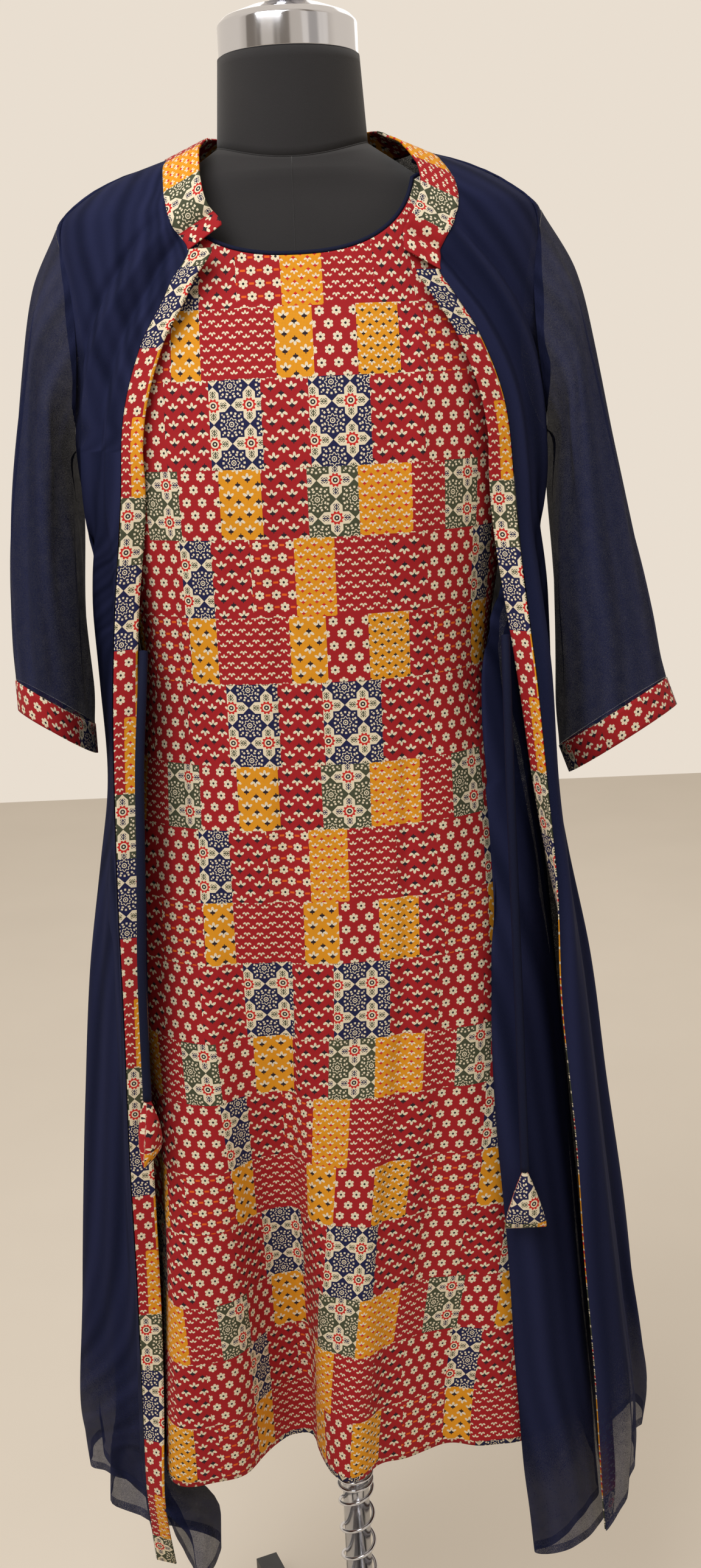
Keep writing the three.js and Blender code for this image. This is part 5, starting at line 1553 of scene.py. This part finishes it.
def make_cap():
    """Chrome cap on the neck, and the ball on it."""
    band_top = NECK_TOP_Z + CAP_BAND_HEIGHT
    cap_profile = rounded([(0, NECK_TOP_Z + SEAM_GAP), (CAP_RADIUS, NECK_TOP_Z + SEAM_GAP),
                           (CAP_RADIUS, band_top), (CAP_RADIUS - 5, band_top + 5),
                           (CAP_RADIUS - 24, band_top + 12), (CAP_RADIUS - 42, band_top + CAP_DOME_HEIGHT),
                           (0, band_top + CAP_DOME_HEIGHT)], {1, 2, 3}, 1.6)
    place(lathe("visual_cap", cap_profile), CHROME, "chrome", "neck_cap")
    ball_z = band_top + CAP_DOME_HEIGHT + SEAM_GAP + BALL_RADIUS
    arc = np.radians(np.linspace(-90, 90, 33))
    ball = [(0 if abs(c) < 1e-6 else BALL_RADIUS * c, ball_z + BALL_RADIUS * s)
            for c, s in zip(np.cos(arc), np.sin(arc))]
    place(lathe("visual_ball", ball), CHROME, "chrome", "finial_ball")


def make_form():
    """The dress form above its pole."""
    count = 120
    angle = np.arange(count) * 360 / count
    a = np.radians(angle)
    neck = circle(NECK_BASE_RADIUS, a, NECK_SEAM_SIDE_Z - NECK_SEAM_DIP * np.cos(a) ** 2)
    make_torso(angle, neck)
    make_neck(a, neck)
    make_form_seams(neck)
    make_cap()


def make_spring():
    """Coil spring round the pole: close turns, then open ones at the top."""
    foot = HUB_TOP_Z + SEAM_GAP + SPRING_WIRE
    open_foot = SPRING_TOP_Z - SPRING_WIRE - SPRING_OPEN_TURNS * SPRING_OPEN_PITCH
    close_turns = SPRING_TURNS - SPRING_OPEN_TURNS
    turns = np.linspace(0, SPRING_TURNS, SPRING_TURNS * 40 + 1)
    z = mix(foot, open_foot, np.minimum(turns, close_turns) / close_turns)
    z = z + np.maximum(0, turns - close_turns) * SPRING_OPEN_PITCH
    a = 2 * np.pi * turns
    path = np.stack([SPRING_RADIUS * np.cos(a), SPRING_RADIUS * np.sin(a), z], axis=-1)
    place(tube("visual_spring", path, SPRING_WIRE, 10), CHROME, "chrome", "stand_spring")


def dress_legs():
    """Gives the CAD legs their paint and a fine bevel."""
    for k in range(4):
        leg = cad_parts[f"stand_leg_{k + 1}"]
        leg.data.materials.clear()
        leg.data.materials.append(STEEL)
        edge = leg.modifiers.new("edge", "BEVEL")
        edge.width = 0.0025
        edge.segments = 3
        edge.limit_method = "ANGLE"


def make_stand():
    """Hub, pole, spring and legs."""
    hub_profile = rounded([(0, 0), (HUB_RADIUS, 0), (HUB_RADIUS, HUB_FOOT_Z),
                           (BOSS_RADIUS + 4, HUB_FOOT_Z + 8), (BOSS_RADIUS, HUB_FOOT_Z + 20),
                           (BOSS_RADIUS, HUB_TOP_Z), (0, HUB_TOP_Z)], {2, 3, 4, 5}, 2.0)
    place(lathe("visual_hub", hub_profile), STEEL, "black_steel", "stand_hub")
    pole_foot = HUB_TOP_Z + SEAM_GAP
    pole_top = TORSO_FOOT_Z - SEAM_GAP
    pole = [(0, pole_foot), (POLE_RADIUS, pole_foot), (POLE_RADIUS, pole_top), (0, pole_top)]
    place(lathe("visual_pole", pole, 64), CHROME, "chrome", "stand_pole")
    make_spring()
    dress_legs()


make_form()
make_stand()
kurti_front, kurti_back = make_kurti()
cloths, ties = make_jacket()

# ---- each tie's start and path in metres, worked out and not kept ----
for cord, triangle, path, length in ties:
    tuple(path[0] * MM)
    (path * MM).tolist()


# ---- camera, light and floor ----
CAMERA_AT = (0.024, -1.338, 1.384)
CAMERA_PITCH = 14.4  # degrees down
CAMERA_ROLL = 2.45
CAMERA_LENS = 36.8
# Each light: its name, where it is, what it faces, its size and its power.
LIGHTS = (
    ("key", (-0.7, -1.3, 2.7), (0, 0, 1.4), 1.4, 40),
    ("fill", (2.2, -2.0, 1.8), (0, 0, 1.1), 2.4, 4),
    ("back", (0.6, 2.6, 2.6), (0, 0, 1.1), 2.2, 12),
)
STUDIO_LIGHT = 0.97
STUDIO_PALE = linear(236, 225, 211)
STUDIO_DARK = linear(92, 80, 68)
FLOOR_REACH = 4000


def look():
    """Camera at the photograph's place and angle."""
    pitch = math.radians(CAMERA_PITCH)
    roll = math.radians(CAMERA_ROLL)
    forward = Vector((0, math.cos(pitch), -math.sin(pitch)))
    right = Vector((1, 0, 0))
    up = Vector((0, math.sin(pitch), math.cos(pitch)))
    local_x = math.cos(roll) * right - math.sin(roll) * up
    local_y = math.sin(roll) * right + math.cos(roll) * up
    data = bpy.data.cameras.new("camera")
    data.lens = CAMERA_LENS
    data.sensor_width = 36
    camera = bpy.data.objects.new("camera", data)
    camera.matrix_world = Matrix((
        (local_x.x, local_y.x, -forward.x, CAMERA_AT[0]),
        (local_x.y, local_y.y, -forward.y, CAMERA_AT[1]),
        (local_x.z, local_y.z, -forward.z, CAMERA_AT[2]),
        (0, 0, 0, 1),
    ))
    bpy.context.scene.collection.objects.link(camera)
    bpy.context.scene.camera = camera


def area_light(name, position, target, size, power):
    """Square soft light that faces a target."""
    data = bpy.data.lights.new(name, "AREA")
    data.size = size
    data.energy = power
    lamp = bpy.data.objects.new(name, data)
    lamp.location = position
    lamp.rotation_euler = (Vector(target) - Vector(position)).to_track_quat("-Z", "Y").to_euler()
    bpy.context.scene.collection.objects.link(lamp)


def make_world():
    """Pale light all round, with darker upright stripes in front for the chrome to reflect."""
    world = bpy.data.worlds.new("studio")
    world.use_nodes = True
    tree = world.node_tree
    background = tree.nodes["Background"]
    background.inputs[1].default_value = STUDIO_LIGHT
    around = tree.nodes.new("ShaderNodeTexCoord")
    parts = tree.nodes.new("ShaderNodeSeparateXYZ")
    tree.links.new(around.outputs["Generated"], parts.inputs[0])
    x, y, _ = (Term(tree, socket) for socket in parts.outputs)
    turn = x.arctan2(y * -1)
    before = ((y * -1 - 0.1) * 5).high(0).low(1)
    stripes = ((turn * 7 + 0.7).cosine() * 2.5 + (turn * 17).cosine() * 1.2).high(0).low(1)
    tone = before * (stripes * 0.55 + 0.25)
    tree.links.new(colour_mix(tree, tone, STUDIO_PALE, STUDIO_DARK), background.inputs[0])
    bpy.context.scene.world = world


def make_floor():
    """Plain pale floor."""
    far = FLOOR_REACH
    floor = mesh_object("floor", [(-far, -far, 0), (far, -far, 0), (far, far, 0), (-far, far, 0)],
                        [(0, 1, 2, 3)])
    made, tree, shader = new_material("floor", roughness=0.7)
    tone = noise(tree, 3, 3.0)
    tree.links.new(colour_mix(tree, tone, linear(214, 206, 194), linear(222, 214, 202)),
                   shader.inputs["Base Color"])
    floor.data.materials.append(made)


def studio():
    """Light, floor and plain colours."""
    bpy.context.scene.view_settings.view_transform = "Standard"
    make_world()
    for row in LIGHTS:
        area_light(*row)
    make_floor()


look()
studio()
